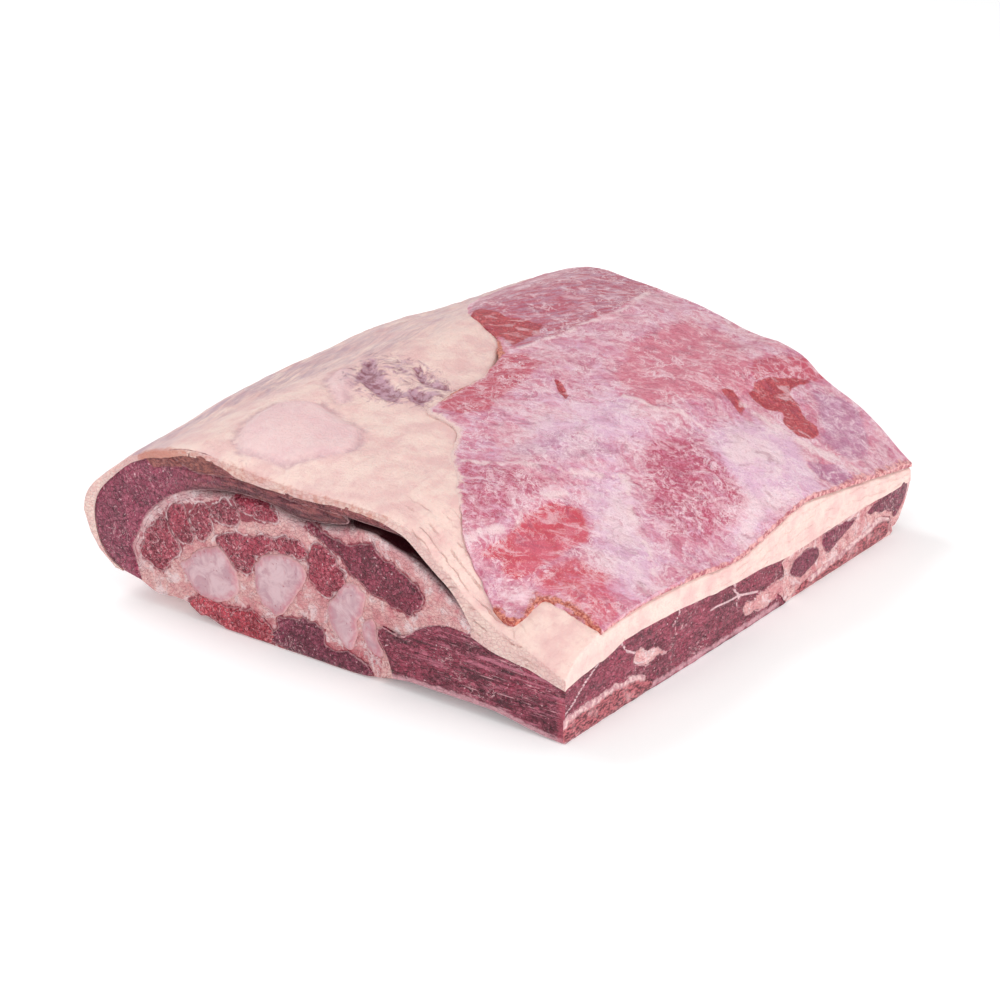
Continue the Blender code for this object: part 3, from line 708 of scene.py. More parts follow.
def fat_cap_material():
    """The fat with lilac streaks, two pale round areas with painted shade along their rims, bruised pits, folds beside
    the slit with painted shade in their grooves, and a torn lip.
    """
    s, grains, height = fat_base("Fat cap", (238, 208, 198), (226, 184, 180), (206, 146, 148))
    veil = s.noise(1.8, 6, 0.68, s.stretch((1, 0.09, 0.8), -8), 0.5)
    wide = s.noise(9, 5, 0.62, s.stretch((1, 0.3, 1), -8), 0.8)
    streak = s.ramp(s.add(s.both(veil, 0.6), s.both(wide, 0.6)), 0.46, 0.76)
    streak = s.both(s.attribute("streak"), streak)
    s.cover(s.both(streak, 0.8), (172, 136, 156))
    # Painted shade along the rims of the raised lobes.
    s.paint(s.noise(7, 5, 0.65), 0.4, 0.6, (182, 134, 142), s.both(s.attribute("lobe_rim"), 0.7))
    # Folds beside the slit's lip: painted shade in their grooves, which also sink the bump.
    phase = s.add(s.both(s.attribute("away"), 1.25), s.both(s.noise(22, 5, 0.62, None, 0.6), 11.0))
    groove = s.both(s.ramp(s.math("SINE", phase), 0.72, 1.0), s.ramp(s.noise(11, 4, 0.6), 0.42, 0.58))
    groove = s.both(groove, s.attribute("folded"))
    s.cover(s.both(groove, 0.75), (182, 122, 112))
    s.cover(s.both(s.attribute("lobe"), 0.5), (226, 188, 196))
    bruise = s.mix(s.ramp(s.noise(4, 4, 0.65), 0.4, 0.6), (132, 66, 88), (188, 146, 164))
    s.paint(s.frayed("pit", 2.4, 7, 7, 0.7, 1.2), 0.25, 0.8, bruise, 0.9)
    s.paint(s.frayed("rag", 1.1, 3), 0.6, 1.0, (200, 122, 104), 0.8)
    height = s.add(height, s.add(s.both(streak, -0.5), s.both(groove, -1.2)))
    return s.finish(height, 1.0, 0.75, s.ramp(grains, 0.3, 0.7, 0.3, 0.5))


def seam_fat_material():
    """Fat and membranes between muscles: pearly, with shreds of flesh, white septa and arched layers. Painted shade
    darkens the creases between the layers, thin crease lines over the cut, and the slit and the folds beside it.
    """
    s, grains, height = fat_base("Seam fat", (226, 182, 178), (212, 150, 152), (188, 96, 106))
    arc = s.attribute("arc")
    cut = s.attribute("cut")
    # Near the ring line: a pale band, and dark lines on it that are painted shade in the creases of arched folds.
    fold = s.math("SINE", s.both(s.add(arc, s.both(s.noise(7, 3, 0.6), 3.0)), 2.6))
    near = s.both(s.ramp(arc, 9.0, 4.0), s.ramp(s.noise(6, 3), 0.35, 0.6))
    s.paint(arc, 8.0, 3.0, (204, 178, 184), 0.5)
    s.paint(fold, 0.75, 1.0, (128, 66, 80), s.both(near, 0.75))
    pearl = s.noise(9, 6, 0.66, None, 0.9)
    s.paint(pearl, 0.5, 0.62, (232, 212, 214), s.both(cut, 0.7))
    s.paint(pearl, 0.46, 0.36, (196, 104, 116), s.both(cut, 0.5))
    flesh = s.mix(grains, (96, 14, 34), (176, 60, 82))
    s.paint(s.frayed("meaty", 1.7, 4, 6, 0.7, 1.0), 0.55, 0.85, flesh, 0.92)
    s.paint(s.frayed("septa", 2.6, 4), 0.5, 1.0, (232, 206, 208), 0.85)
    # Thin dark lines over the cut: painted shade of fine creases.
    s.cover(s.both(s.threads(s.noise(7, 7, 0.68, None, 1.2), 0.02, 0.004), s.both(cut, 0.55)), (128, 56, 66))
    # Painted shade: near-black in the slit and in the folds along the ring line and the slit.
    s.cover(s.attribute("dark"), (58, 12, 20))
    return s.finish(height, 1.0, 0.75, s.ramp(grains, 0.3, 0.7, 0.3, 0.5))


def cartilage_material():
    """Bluish-pink cartilage with a redder border."""
    s = Shader("Cartilage", 0.28, 0.2)
    cloud = s.noise(8, 6, 0.65, None, 0.8)
    s.colour = s.mix(s.ramp(cloud, 0.38, 0.62), (210, 178, 184), (186, 144, 154))
    edge = s.attribute("edge")
    stain = s.add(s.both(s.ramp(edge, 6.0, 0.0), 0.5), s.both(s.noise(5, 6, 0.7, None, 0.8), 1.6))
    s.paint(stain, 0.85, 1.5, (192, 110, 124), 0.75)
    rim = s.add(edge, s.both(s.noise(3, 5, 0.65, None, 0.5), 3.0))
    s.paint(rim, 2.9, 1.5, s.mix(cloud, (226, 190, 188), (198, 130, 136)), 0.8)
    speck = s.ramp(s.noise(2.0, 2), 0.66, 0.74)
    s.cover(s.both(speck, 0.6), (164, 70, 88))
    return s.finish(s.add(cloud, s.both(speck, 0.3)), 0.8, 0.6)


def bone_material():
    """Sawn bone: a pale hard rim on dark spongy marrow."""
    s = Shader("Sawn bone", 0.38, 0.1)
    sponge = s.noise(1.3, 4, 0.7, s.stretch((1, 0.5, 1)), 0.6)
    s.colour = s.mix(s.ramp(sponge, 0.42, 0.58), (84, 14, 30), (188, 96, 104))
    s.paint(s.noise(9, 4, 0.6), 0.5, 0.7, (218, 166, 168), 0.6)
    hard = s.mix(s.ramp(s.noise(3, 5, 0.65), 0.4, 0.6), (228, 192, 190), (184, 128, 136))
    s.paint(s.frayed("edge", 3.0, 4), 3.4, 1.6, hard)
    return s.finish(sponge, 0.7, 0.85)


def sheet_material():
    """Rose muscle that shows in places through a thin, torn, lilac-white membrane."""
    s = Shader("Membrane muscle", 0.36, 0.12, 0.4)
    fibre = s.noise(2.6, 6, 0.68, s.stretch((0.42, 1, 1), -38), 1.2)
    broad = s.noise(15, 5, 0.6, None, 0.8)
    speckle = s.noise(2.0, 5, 0.7, None, 1.0)
    s.colour = s.mix(s.ramp(broad, 0.35, 0.65), (212, 118, 142), (190, 92, 122))
    s.paint(fibre, 0.42, 0.66, (222, 144, 158), 0.6)

    def area(name, value, low, high, first, second, share=0.95):
        """Tints the area that an attribute marks, from one colour to another as value goes from low to high."""
        s.paint(s.frayed(name, 0.6, 5, 6), 0.3, 0.7, s.mix(s.ramp(value, low, high), first, second), share)

    area("smooth", fibre, 0.38, 0.66, (204, 104, 126), (222, 142, 156))
    stripe = s.noise(2.6, 5, 0.65, s.stretch((0.25, 1, 1), -64), 0.4)
    area("back", stripe, 0.44, 0.6, (186, 84, 104), (188, 136, 156))
    cells = s.both(s.ramp(s.cells(6, s.stretch((1, 0.7, 1), 30)), 0.10, 0.0), 0.6)
    s.paint(s.frayed("rose", 0.6, 5, 6), 0.3, 0.7, s.mix(cells, (196, 78, 98), (226, 160, 172)), 0.95)
    area("magenta", speckle, 0.44, 0.62, (180, 62, 92), (212, 128, 152))
    s.paint(s.frayed("purple", 0.6, 5, 6), 0.3, 0.7, s.mix(speckle, (150, 88, 128), (196, 140, 172)), 0.7)
    lines = s.both(s.ramp(s.noise(1.5, 3, 0.6, s.stretch((1, 0.2, 1), -20)), 0.56, 0.7), 0.6)
    red = s.mix(s.ramp(broad, 0.4, 0.6), (204, 66, 82), (212, 92, 112))
    s.paint(s.frayed("fresh", 0.6, 5, 6), 0.3, 0.7, s.mix(lines, red, (236, 150, 154)), 0.95)
    wisps = s.noise(9, 9, 0.66, None, 1.4)
    torn = s.add(s.add(s.both(wisps, 0.9), s.both(speckle, 0.55)), s.both(fibre, 0.45))
    cover = s.add(s.attribute("cover"), s.both(s.math("SUBTRACT", torn, 0.95), 1.6))
    milky = s.mix(s.ramp(s.noise(20, 4, 0.6), 0.38, 0.62), (226, 184, 208), (240, 212, 218))
    s.paint(cover, 0.15, 0.95, milky, 0.9)
    laced = s.both(s.ramp(s.noise(17, 4, 0.6), 0.40, 0.58), s.ramp(s.attribute("fresh"), 1.0, 0.4, 0.4, 0.8))
    s.cover(s.both(s.threads(s.noise(9, 9, 0.72, None, 0.5), 0.032, 0.004), laced), (246, 220, 226))
    area("red", speckle, 0.42, 0.62, (156, 28, 40), (206, 88, 92))
    seam = s.both(s.attribute("seam"), s.ramp(s.noise(11, 5, 0.65), 0.34, 0.58))
    seam = s.add(seam, s.both(s.math("SUBTRACT", s.noise(3, 5, 0.68), 0.5), s.both(seam, 1.6)))
    s.paint(seam, 0.2, 1.0, (240, 210, 212), 0.85)
    shade = s.noise(9, 6, 0.66, s.stretch((0.6, 1, 1), -38), 1.0)
    s.paint(shade, 0.47, 0.32, (150, 64, 94), 0.4)
    s.paint(shade, 0.52, 0.64, (246, 216, 224), 0.45)
    lip = s.mix(s.ramp(s.noise(2.5, 5, 0.65), 0.4, 0.6), (160, 52, 62), (236, 172, 166))
    s.paint(s.frayed("lip", 1.9, 5), 0.4, 0.85, lip, 0.85)
    s.paint(s.frayed("fatty", 1.3, 6, 6, 0.68, 0.8), 0.4, 0.75, (238, 206, 198), 0.92)
    brown = s.mix(s.ramp(s.noise(1.5, 4, 0.65), 0.4, 0.6), (160, 60, 50), (222, 140, 118))
    s.paint(s.frayed("tag", 1.5, 3.5), 0.4, 0.8, brown)
    dots = s.noise(1.2, 3, 0.7)
    s.paint(dots, 0.44, 0.32, (158, 74, 98), 0.35)
    s.paint(dots, 0.58, 0.70, (248, 224, 226), 0.35)
    height = s.add(s.add(s.both(fibre, 0.6), s.both(speckle, 0.6)), s.both(wisps, 1.5))
    return s.finish(height, 1.2, 0.8, s.ramp(speckle, 0.3, 0.7, 0.28, 0.48))


# ---------------------------------------------------------------- regions of the top, seen from above (x, y)

LOBE = [(-59, -135), (-68, -115), (-69, -96), (-58, -88), (-48, -87), (-28, -93), (-14, -96), (-3, -113),
    (-5, -122), (-14, -129), (-24, -142), (-40, -143), (-50, -144)]
SECOND_LOBE = [(-65, -63), (-71, -48), (-65, -40), (-50, -57), (-39, -75), (-41, -81)]
PITS = [
    [(-64, -33), (-60, -28), (-50, -38), (-37, -45), (-26, -50), (-18, -62), (-25, -63), (-41, -59),
     (-55, -49)],
    [(-38, -27), (-36, -21), (-24, -33), (-9, -33), (-8, -38), (-25, -37)],
    [(-26, -46), (-10, -42), (-8, -58), (-17, -57)],
]
PIT_AREA = [(-70, -20), (-35, -15), (-2, -30), (0, -62), (-30, -70), (-62, -60)]
BACK_LEAN = [(-53, 39), (-61, 53), (-90, 100), (-90, 155), (-13, 155), (-9, 130), (-6, 115), (-5, 100),
    (-4, 84), (-5, 68), (-8, 45), (-10, 36), (-9, 26), (-13, 22), (-20, 25), (-30, 32), (-26, 20), (-39, 27)]
BACK_RED = [(-54, 40), (-58, 54), (-51, 55), (-40, 52), (-34, 55), (-20, 56), (-15, 46), (-16, 33), (-14, 24),
    (-21, 28), (-30, 32), (-26, 20), (-39, 27), (-47, 33)]
TAG = [(-30, 33), (-12, 15), (-10, 0), (-18, 2), (-24, 22)]
TORN_FRONT = [(99, -148), (111, -147), (116, -143), (115, -131), (128, -126), (144, -126)]
TORN_SIDE = [(-10, 0), (-4, -22), (-2, -50)]
ROSE_WEDGE = [(-10, 0), (-4, -22), (-3, -50), (3, -58), (14, -57), (21, -45), (16, -25), (15, -11), (13, 1),
    (9, 16), (-4, 21), (-10, 16)]
HOLE = [(23, 8), (26, 9), (36, 2), (38, -3), (30, 1)]
SMOOTH_PINK = [(39, 36), (28, 60), (25, 88), (24, 127), (45, 134), (70, 113), (82, 90), (81, 65), (74, 51),
    (68, 26), (55, 26)]
RIGHT_VEIL = [(94, 41), (96, 68), (105, 81), (123, 78), (132, 77), (144, 63), (143, 41), (141, 17), (140, -8),
    (131, -1), (121, 9), (113, 17)]
CENTRE_VEIL = [(36, -39), (37, -7), (55, 19), (72, 20), (81, -2), (76, -28), (54, -46)]
LOW_VEIL = [(81, -44), (93, -30), (113, -48), (132, -64), (142, -83), (137, -95), (120, -88), (100, -70)]
CREAM_STRIP = [(89, 80), (107, 82), (124, 86), (136, 100), (142, 105)]
RED_T = [(82, 90), (81, 99), (84, 122), (88, 139), (90, 137), (90, 124), (92, 119), (99, 116), (109, 106),
    (115, 108), (119, 104), (120, 92), (115, 86), (106, 88), (99, 98), (93, 92), (86, 90)]
BACK_ROSE = [(70, 118), (71, 135), (78, 152), (92, 152), (90, 142), (84, 123), (81, 100), (74, 104)]
SMALL_RED = [(79, 73), (80, 81), (89, 80), (93, 70), (83, 71)]
MAGENTA = [(84, -6), (83, 5), (88, 19), (95, 31), (108, 30), (115, 25), (130, 18), (133, 3), (132, -25),
    (124, -42), (107, -31)]
MAGENTA_CORE = [(85, -4), (86, 12), (94, 22), (104, 20), (110, 6), (112, -8), (106, -20), (94, -14)]
FRESH_RED = [(82, -86), (84, -76), (91, -69), (99, -75), (106, -82), (105, -91), (105, -104), (104, -121),
    (100, -131), (92, -133), (89, -128), (82, -134), (85, -118), (82, -101)]
FRESH_PINK = [(103, -128), (104, -121), (109, -97), (126, -94), (136, -104), (143, -102), (145, -121),
    (140, -128), (128, -126), (118, -125), (110, -129)]
ROSE_STRIP = [(39, -90), (62, -76), (79, -68), (79, -79), (76, -99), (78, -120), (73, -132), (69, -130)]
RIGHT_LILAC = [(93, 133), (104, 150), (116, 150), (129, 137), (138, 126), (135, 105), (124, 96), (118, 102),
    (116, 110)]
STEP_PURPLE = [(130, 76), (136, 94), (143, 96), (144, 78), (138, 73)]
MIDDLE_PURPLE = [(44, -60), (54, -31), (77, -13), (86, -23), (71, -54), (55, -72)]
SEAMS = [
    [(-14, 148), (0, 102), (-3, 84), (-7, 48), (-10, 24)],
    [(55, 23), (70, 26), (78, 38), (94, 41)],
    [(76, -133), (82, -111), (80, -80), (84, -66)],
    [(42, -92), (58, -76), (69, -64), (81, -44), (88, -33), (91, -27)],
    [(93, -30), (107, -46), (126, -60), (138, -72)],
]
# How much of each area the membrane covers, and how soft the area's border is.
MEMBRANE_COVER = [
    (CENTRE_VEIL, 0.85, 14), (MIDDLE_PURPLE, 0.6, 8), (SMOOTH_PINK, 0.15, 6), (BACK_LEAN, 0.1, 3),
    (RIGHT_VEIL, 1.0, 6), (LOW_VEIL, 0.9, 9), (ROSE_STRIP, 0.36, 3), (MAGENTA, 0.34, 5), (MAGENTA_CORE, 0.0, 4),
    (RIGHT_LILAC, 0.38, 5), (BACK_ROSE, 0.1, 3), (ROSE_WEDGE, 0.1, 3), (FRESH_PINK, 0.3, 5), (FRESH_RED, -0.1, 3.5),
    (STEP_PURPLE, 0.2, 2), (TAG, -0.5, 2)]
# Where the lilac streaks on the fat end, as x for each y.
STREAK_BORDER = [(-HALF_LENGTH, -92), (-90, -88), (-49, -76), (-17, -58), (26, -52), (80, -66),
                 (HALF_LENGTH, -80)]

# ---------------------------------------------------------------- regions of the cuts

# On the front cut (x, z).
DRIED_AREA = [(-106, 82), (-94, 87), (-78, 92), (-60, 92), (-62, 82), (-74, 79.5), (-86, 77), (-98, 73.5)]
GRAINY_LEAN = [(40, 26), (50, 24), (66, 16), (90, 9), (120, 6), (120, -2), (44, -2)]
RING_BAND = [(-108, 24), (-103, 42), (-92, 55), (-72, 62), (-47, 71), (-24, 68), (-24, 62), (-48, 58),
    (-62, 52), (-76, 42), (-88, 26)]
# Pale lines in the lean of the right cut (y, z).
FASCIA = [
    [(-118, 34), (-126, 30), (-136, 25), (-145, 18), (-151, 15)],
    [(-64, 37), (-60, 31), (-66, 26)],
    [(-10, 31), (-14, 25), (-9, 20), (-12, 15)],
    [(-34, 22), (-20, 21), (-8, 20), (8, 16)],
    [(-96, 24), (-104, 28), (-108, 34)],
]


def streak_amount(x, y):
    """How much thin lilac membrane lies on the fat: most of it along the left side."""
    return 1 - smooth_step(-14, 12, x - curve_value(STREAK_BORDER, y))


def lip_folds(points):
    """Folds in the fat that run beside the slit's lip. Returns how far behind the lip each point lies, and how
    strong the folds are there."""
    x, y, _ = points.T
    flat = level(points[:, :2])
    away = y + HALF_LENGTH + 3.0 * fractal(flat, 30, 2, 15) + 0.10 * (x - 60)
    strength = smooth_step(36, 62, x) * (1 - smooth_step(104, 128, x)) * (1 - smooth_step(-136, -118, y))
    return away, strength * (0.6 + 0.4 * fractal(flat, 18, 2, 16))


def fat_relief(points):
    """How far the fat's own surface lies below the slab's outer form, as a negative height."""
    x, y, z = points.T
    plan = points[:, :2]
    flat = level(plan)
    height = -1.9 + 1.2 * fractal(flat, 26, 3, 1) + 0.45 * fractal(flat, 7, 3, 4)
    height += 0.8 * streak_amount(x, y) * fractal(flat * (1, 0.22, 1), 5, 3, 8)
    height += 1.6 * patch(plan, LOBE, 7) + 1.2 * patch(plan, SECOND_LOBE, 5)
    for lobe in (LOBE, SECOND_LOBE):
        height -= 1.3 * hill(signed_distance(wander(plan), lobe), 2.4)
    for pit in PITS:
        rough = signed_distance(plan, pit) + 2.4 * fractal(flat, 7, 3, 11)
        height -= 3.0 * (1 - smooth_step(-3.5, 0.5, rough))
    height -= 2.6 * (1 - smooth_step(-3.5, -1.2, signed_distance(plan, SHEET_ROOM)))
    away, strength = lip_folds(points)
    height -= 0.7 * strength * (1 + np.cos(2 * math.pi * away / 9.0))
    height = np.minimum(height, -0.3)
    front_round = 0.9 * np.exp(-(y + HALF_LENGTH) / 2.0)
    return (height - front_round) * smooth_step(0.55, 0.85, z / top(x, y))


# ---------------------------------------------------------------- outlines of the pieces

# How much each kind of piece's border is roughened, and how far it is moved outwards first.
ROUGHNESS = {"cartilage": 1.5, "ring_muscle": 3.0, "lens_muscle": 2.4, "lower_muscle": 2.6, "rib": 1.2,
             "side_muscle": 1.6, "fat_seam": 3.2}
GROWTH = {"ring_muscle": 1.0, "lower_muscle": 0.6}


def kind_of(name):
    return name.rstrip("_0123456789")


def border_of(name, outline, seed):
    """A piece's dense, rough border."""
    kind = kind_of(name)
    return ragged(grown(loop(outline, 1.0), GROWTH.get(kind, 0.0)), ROUGHNESS[kind], 5, seed)


PLUG_OUTLINES = {name: np.clip(border_of(name, outline, 3), (-152, 0.5), (152, 110))
                 for name, outline in THROUGH_PIECES.items()}
SIDE_OUTLINES = {name: np.clip(border_of(name, outline, 4), (-151.9, 0.6), (151.9, 60))
                 for name, (outline, _) in SLANTED_PIECES.items()}

# Where along Y a piece has its rings of points: few, more over the slit, or close together for a relief.
PLUG_STATIONS = np.concatenate([[-HALF_LENGTH], np.linspace(-148, HALF_LENGTH - 4, 13), [HALF_LENGTH]])
SLIT_STATIONS = np.concatenate([[-HALF_LENGTH], np.linspace(-148, -106, 15), np.linspace(-90, 148, 9),
                                [HALF_LENGTH]])
FINE_STATIONS = np.concatenate([[-HALF_LENGTH, -152.1, -151.4], np.arange(-150.5, HALF_LENGTH - 1, 1.66),
                                [HALF_LENGTH]])


# The dense curves that neighbours share.
top_line = curve(FRONT_TOP, 1.25)
roll_line = curve(ROLL_OUTER, 1.4)
flap_line = curve([ROLL_OUTER[-1]] + FLAP_UPPER + [SLIT_LOWER[-1]], 1.6)
flap_free = curve([SLIT_LOWER[-1]] + FLAP_LOWER[:FLAP_TAIL + 1], 1.6)
flap_tail = curve(FLAP_LOWER[FLAP_TAIL:] + [ROLL_OUTER[-1]], 1.6)
ring_line = curve([FLAP_LOWER[FLAP_TAIL]] + ROLL_INNER, 1.5)
slit_line = curve([FLAP_LOWER[FLAP_TAIL]] + SLIT_LOWER, 1.5)
lean_line = curve([SLIT_LOWER[-1]] + LEAN_TOP, 1.5)
lean_side = curve([LEAN_TOP[-1]] + LEAN_LEFT, 1.5)
lean_top_right = curve([LEAN_TOP[0]] + LEAN_TOP_RIGHT[::-1], 1.5)
bottom_left = curve([LEAN_LEFT[-1]] + UNDERSIDE[3:], 2.0)
right_low = curve([UNDERSIDE[0], LEAN_TOP_RIGHT[0]], 0.9)
right_high = curve([LEAN_TOP_RIGHT[0], FRONT_TOP[-1]], 0.45)


def tagged(line, tag):
    """A curve with a third column, which says whether it moves where the slit closes."""
    return np.column_stack([line, np.full(len(line), tag)])


fat_cap_loop = chain(tagged(RIM_OUTER, 0), tagged(top_line, 0), tagged(right_high[::-1], 0),
                     tagged(lean_top_right[::-1], 0), tagged([SLIT_LOWER[-1]], 0), tagged(flap_line[::-1], 1),
                     tagged(roll_line[::-1], 0))
flap_loop = chain(tagged(flap_line, 1), tagged(flap_free, 0), tagged(flap_tail, 0))
seam_loop = chain(tagged(ring_line[::-1], 0), tagged(slit_line, 1), tagged(lean_line, 0), tagged(lean_side, 0),
                  tagged(bottom_left, 0))


def slit_closed(y):
    return smooth_step(-HALF_LENGTH, -HALF_LENGTH + SLIT_DEPTH, y)


def lowered(outline, y):
    """Moves the flap's upper side down behind the front cut, to leave a full layer of fat above it."""
    line = outline[:, :2].copy()
    drop = np.maximum(0.0, line[:, 1] - (curve_value(FRONT_TOP, line[:, 0]) - FAT_OVER_FLAP))
    line[:, 1] -= outline[:, 2] * slit_closed(y) * drop
    return line


def fat_cap_section(y):
    return lowered(fat_cap_loop, y)


def flap_section(y):
    return lowered(flap_loop, y)


def roll_section(y):
    return chain(roll_line, flap_tail[::-1], ring_line, [UNDERSIDE[-1]])


def seam_section(y):
    line = seam_loop[:, :2].copy()
    shut = seam_loop[:, 2] * slit_closed(y) * np.clip((SLIT_END_X - line[:, 0]) / 3, 0, 1)
    under = curve_value(FLAP_UNDER, np.clip(line[:, 0], SLIT_START_X, SLIT_END_X))
    line[:, 1] += shut * (under - line[:, 1])
    return line


def lean_section(y):
    outline = chain(lean_side[::-1], lean_line[lean_line[:, 0] <= SLIT_END_X][::-1], lean_top_right,
                    right_low[::-1], curve(UNDERSIDE[:3], 3.0), [LEAN_LEFT[-1]])
    room = HALF_WIDTH - RIB_SLANT * max(0.0, y - SIDE_FAT_START) - SLIT_END_X
    right = outline[:, 0] > SLIT_END_X
    outline[right, 0] = SLIT_END_X + (outline[right, 0] - SLIT_END_X) * room / (HALF_WIDTH - SLIT_END_X)
    return outline


# The side fat's outline on the right cut.
side_y = np.linspace(SIDE_FAT_START, HALF_LENGTH - 0.3, 30)
side_top = curve(np.column_stack([side_y, curve_value(RIGHT_LEAN, side_y)]), 1.3)
left_edge = curve([(SIDE_FAT_START + step, z) for step, z in ((-1, 1.5), (-7, 9), (-2, 16), (-5, 23.5))], 1.3)
side_outline = chain([(SIDE_FAT_START, 0.5)], ragged(left_edge, 1.5, 4, 83), side_top,
                     curve([(HALF_LENGTH - 0.3, 28), (HALF_LENGTH - 0.3, 0.5)], 1.3),
                     curve([(HALF_LENGTH - 3, 0.5), (SIDE_FAT_START + 2, 0.5)], 2.5))
side_outline[:, 1] = np.minimum(side_outline[:, 1], curve_value(RIGHT_LEAN, side_outline[:, 0]))


# ---------------------------------------------------------------- relief of the cuts

def recess(points):
    """The ring of muscles and cartilages lies a little behind the rest of the front cut, and under the roll's
    inner edge there is a deep fold."""
    x, z = points.T
    sunk = 1.5 * smooth_step(-118, -96, x) * (1 - smooth_step(40, 70, x)) * smooth_step(4, 22, z)
    fold = 5.5 * hill(line_distance(points, ring_line), 2.6) * smooth_step(-85, -55, x)
    lip = 3.0 * hill(line_distance(points, slit_line), 1.6) * smooth_step(48, 62, x)
    return sunk + fold + lip


def rough_cut(points, base, amount, size, seed):
    return base + amount * (1 + fractal(level(points), size, 3, seed)) / 2


def cut_relief(outline, base, amount, size, seed, depth, width=1.0, extra=None):
    """Relief of a piece's own cut: rough, and rounded off towards its border by depth within about width."""
    def relief(points, front=True):
        rounding = depth * np.exp(-line_distance(points, outline, closed=True) / width)
        total = rough_cut(points, base, amount, size, seed) + rounding
        return total + extra(points) if extra and front else total
    return relief


def host_relief(base, amount, size, seed, outlines, extra=None):
    """Relief of a cut that carries other pieces: sunk under them, and grooved along their borders."""
    def relief(points, front=True):
        depth = rough_cut(points, base, amount, size, seed)
        if extra and front:
            depth = depth + extra(points)
        for outline in outlines:
            low, high = outline.min(axis=0) - 4, outline.max(axis=0) + 4
            near = np.all((points > low) & (points < high), axis=1)
            if near.any():
                distance = signed_distance(points[near], outline)
                sunk = 1.8 * (1 - smooth_step(-2.0, -0.8, distance)) + 0.5 * np.exp(-np.abs(distance) / 0.9)
                depth[near] = depth[near] + sunk
        return depth
    return relief


def right_relief(outlines, base, amount, seed, lean=False):
    """Sets the right cut back, more so under and around the pieces that show on it. The lean's own side follows
    the slant of the side fat, and is cut only as far as LEAN_CUT_END."""
    carried = host_relief(base, amount, 7, seed, outlines)

    def side(points):
        x, y, _ = points.T
        on_cut = x > HALF_WIDTH - 0.05
        if lean:
            slant = RIB_SLANT * np.maximum(0.0, y - SIDE_FAT_START)
            on_cut = (x > HALF_WIDTH - slant - 0.05) & (y < LEAN_CUT_END)
        depth = np.zeros(len(points))
        depth[on_cut] = carried(points[on_cut][:, 1:])
        return depth
    return side


def edge_of(points, border, cut, closed=True):
    """Distance to the piece's own border on its cut, in the cut's plane, and a middling value off the cut."""
    distance = np.full(len(points), EDGE_REACH / 2)
    on_cut = cut > 0
    distance[on_cut] = np.minimum(line_distance(points[on_cut], border, closed=closed), EDGE_REACH)
    return distance


# ---------------------------------------------------------------- materials

MATERIALS = {
    "fat_cap": fat_cap_material(),
    "seam_fat": seam_fat_material(),
    "roll_muscle": lean_material("Roll muscle", (110, 26, 56), (152, 52, 82), (184, 100, 122), 3.0),
    "ring_muscle": lean_material("Ring muscle", (122, 20, 44), (168, 46, 70), (206, 112, 126), 2.4, marbling=1.0),
    "lens_muscle": lean_material("Lens muscle", (94, 14, 38), (136, 32, 60), (172, 80, 102), 2.6),
    "deep_lean": lean_material("Deep lean", (100, 20, 44), (146, 44, 70), (178, 88, 108), 2.0,
                               stretch=(0.6, 0.6, 1), rim=0.8, streaks=0.7),
    "lower_muscle": lean_material("Lower muscle", (142, 18, 38), (200, 50, 70), (228, 136, 144), marbling=0.9),
    "side_muscle": lean_material("Side muscle", (92, 18, 44), (130, 42, 70), (168, 86, 108), 2.4, marbling=0.6),
    "flap_muscle": lean_material("Dried muscle", (96, 36, 44), (144, 72, 74), (180, 108, 104),
                                 stretch=(0.5, 1, 1.5), marbling=0.1, rim=0.3),
    "cartilage": cartilage_material(),
    "rib": bone_material(),
    "top_muscle": sheet_material(),
}
MATERIALS["lower_muscle_2"] = MATERIALS["side_muscle"]
MATERIALS["side_fat"] = MATERIALS["fat_seam"] = MATERIALS["seam_fat"]


# ---------------------------------------------------------------- the pieces

def place(name, shape, **attributes):
    """Makes the piece that stands for the node of the same name."""
    vertices, faces, cut = shape
    piece = make_mesh(name, vertices, faces, dict(attributes, cut=cut))
    piece.data.materials.append(MATERIALS.get(name) or MATERIALS[kind_of(name)])
    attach(piece, "root")
    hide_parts(name)


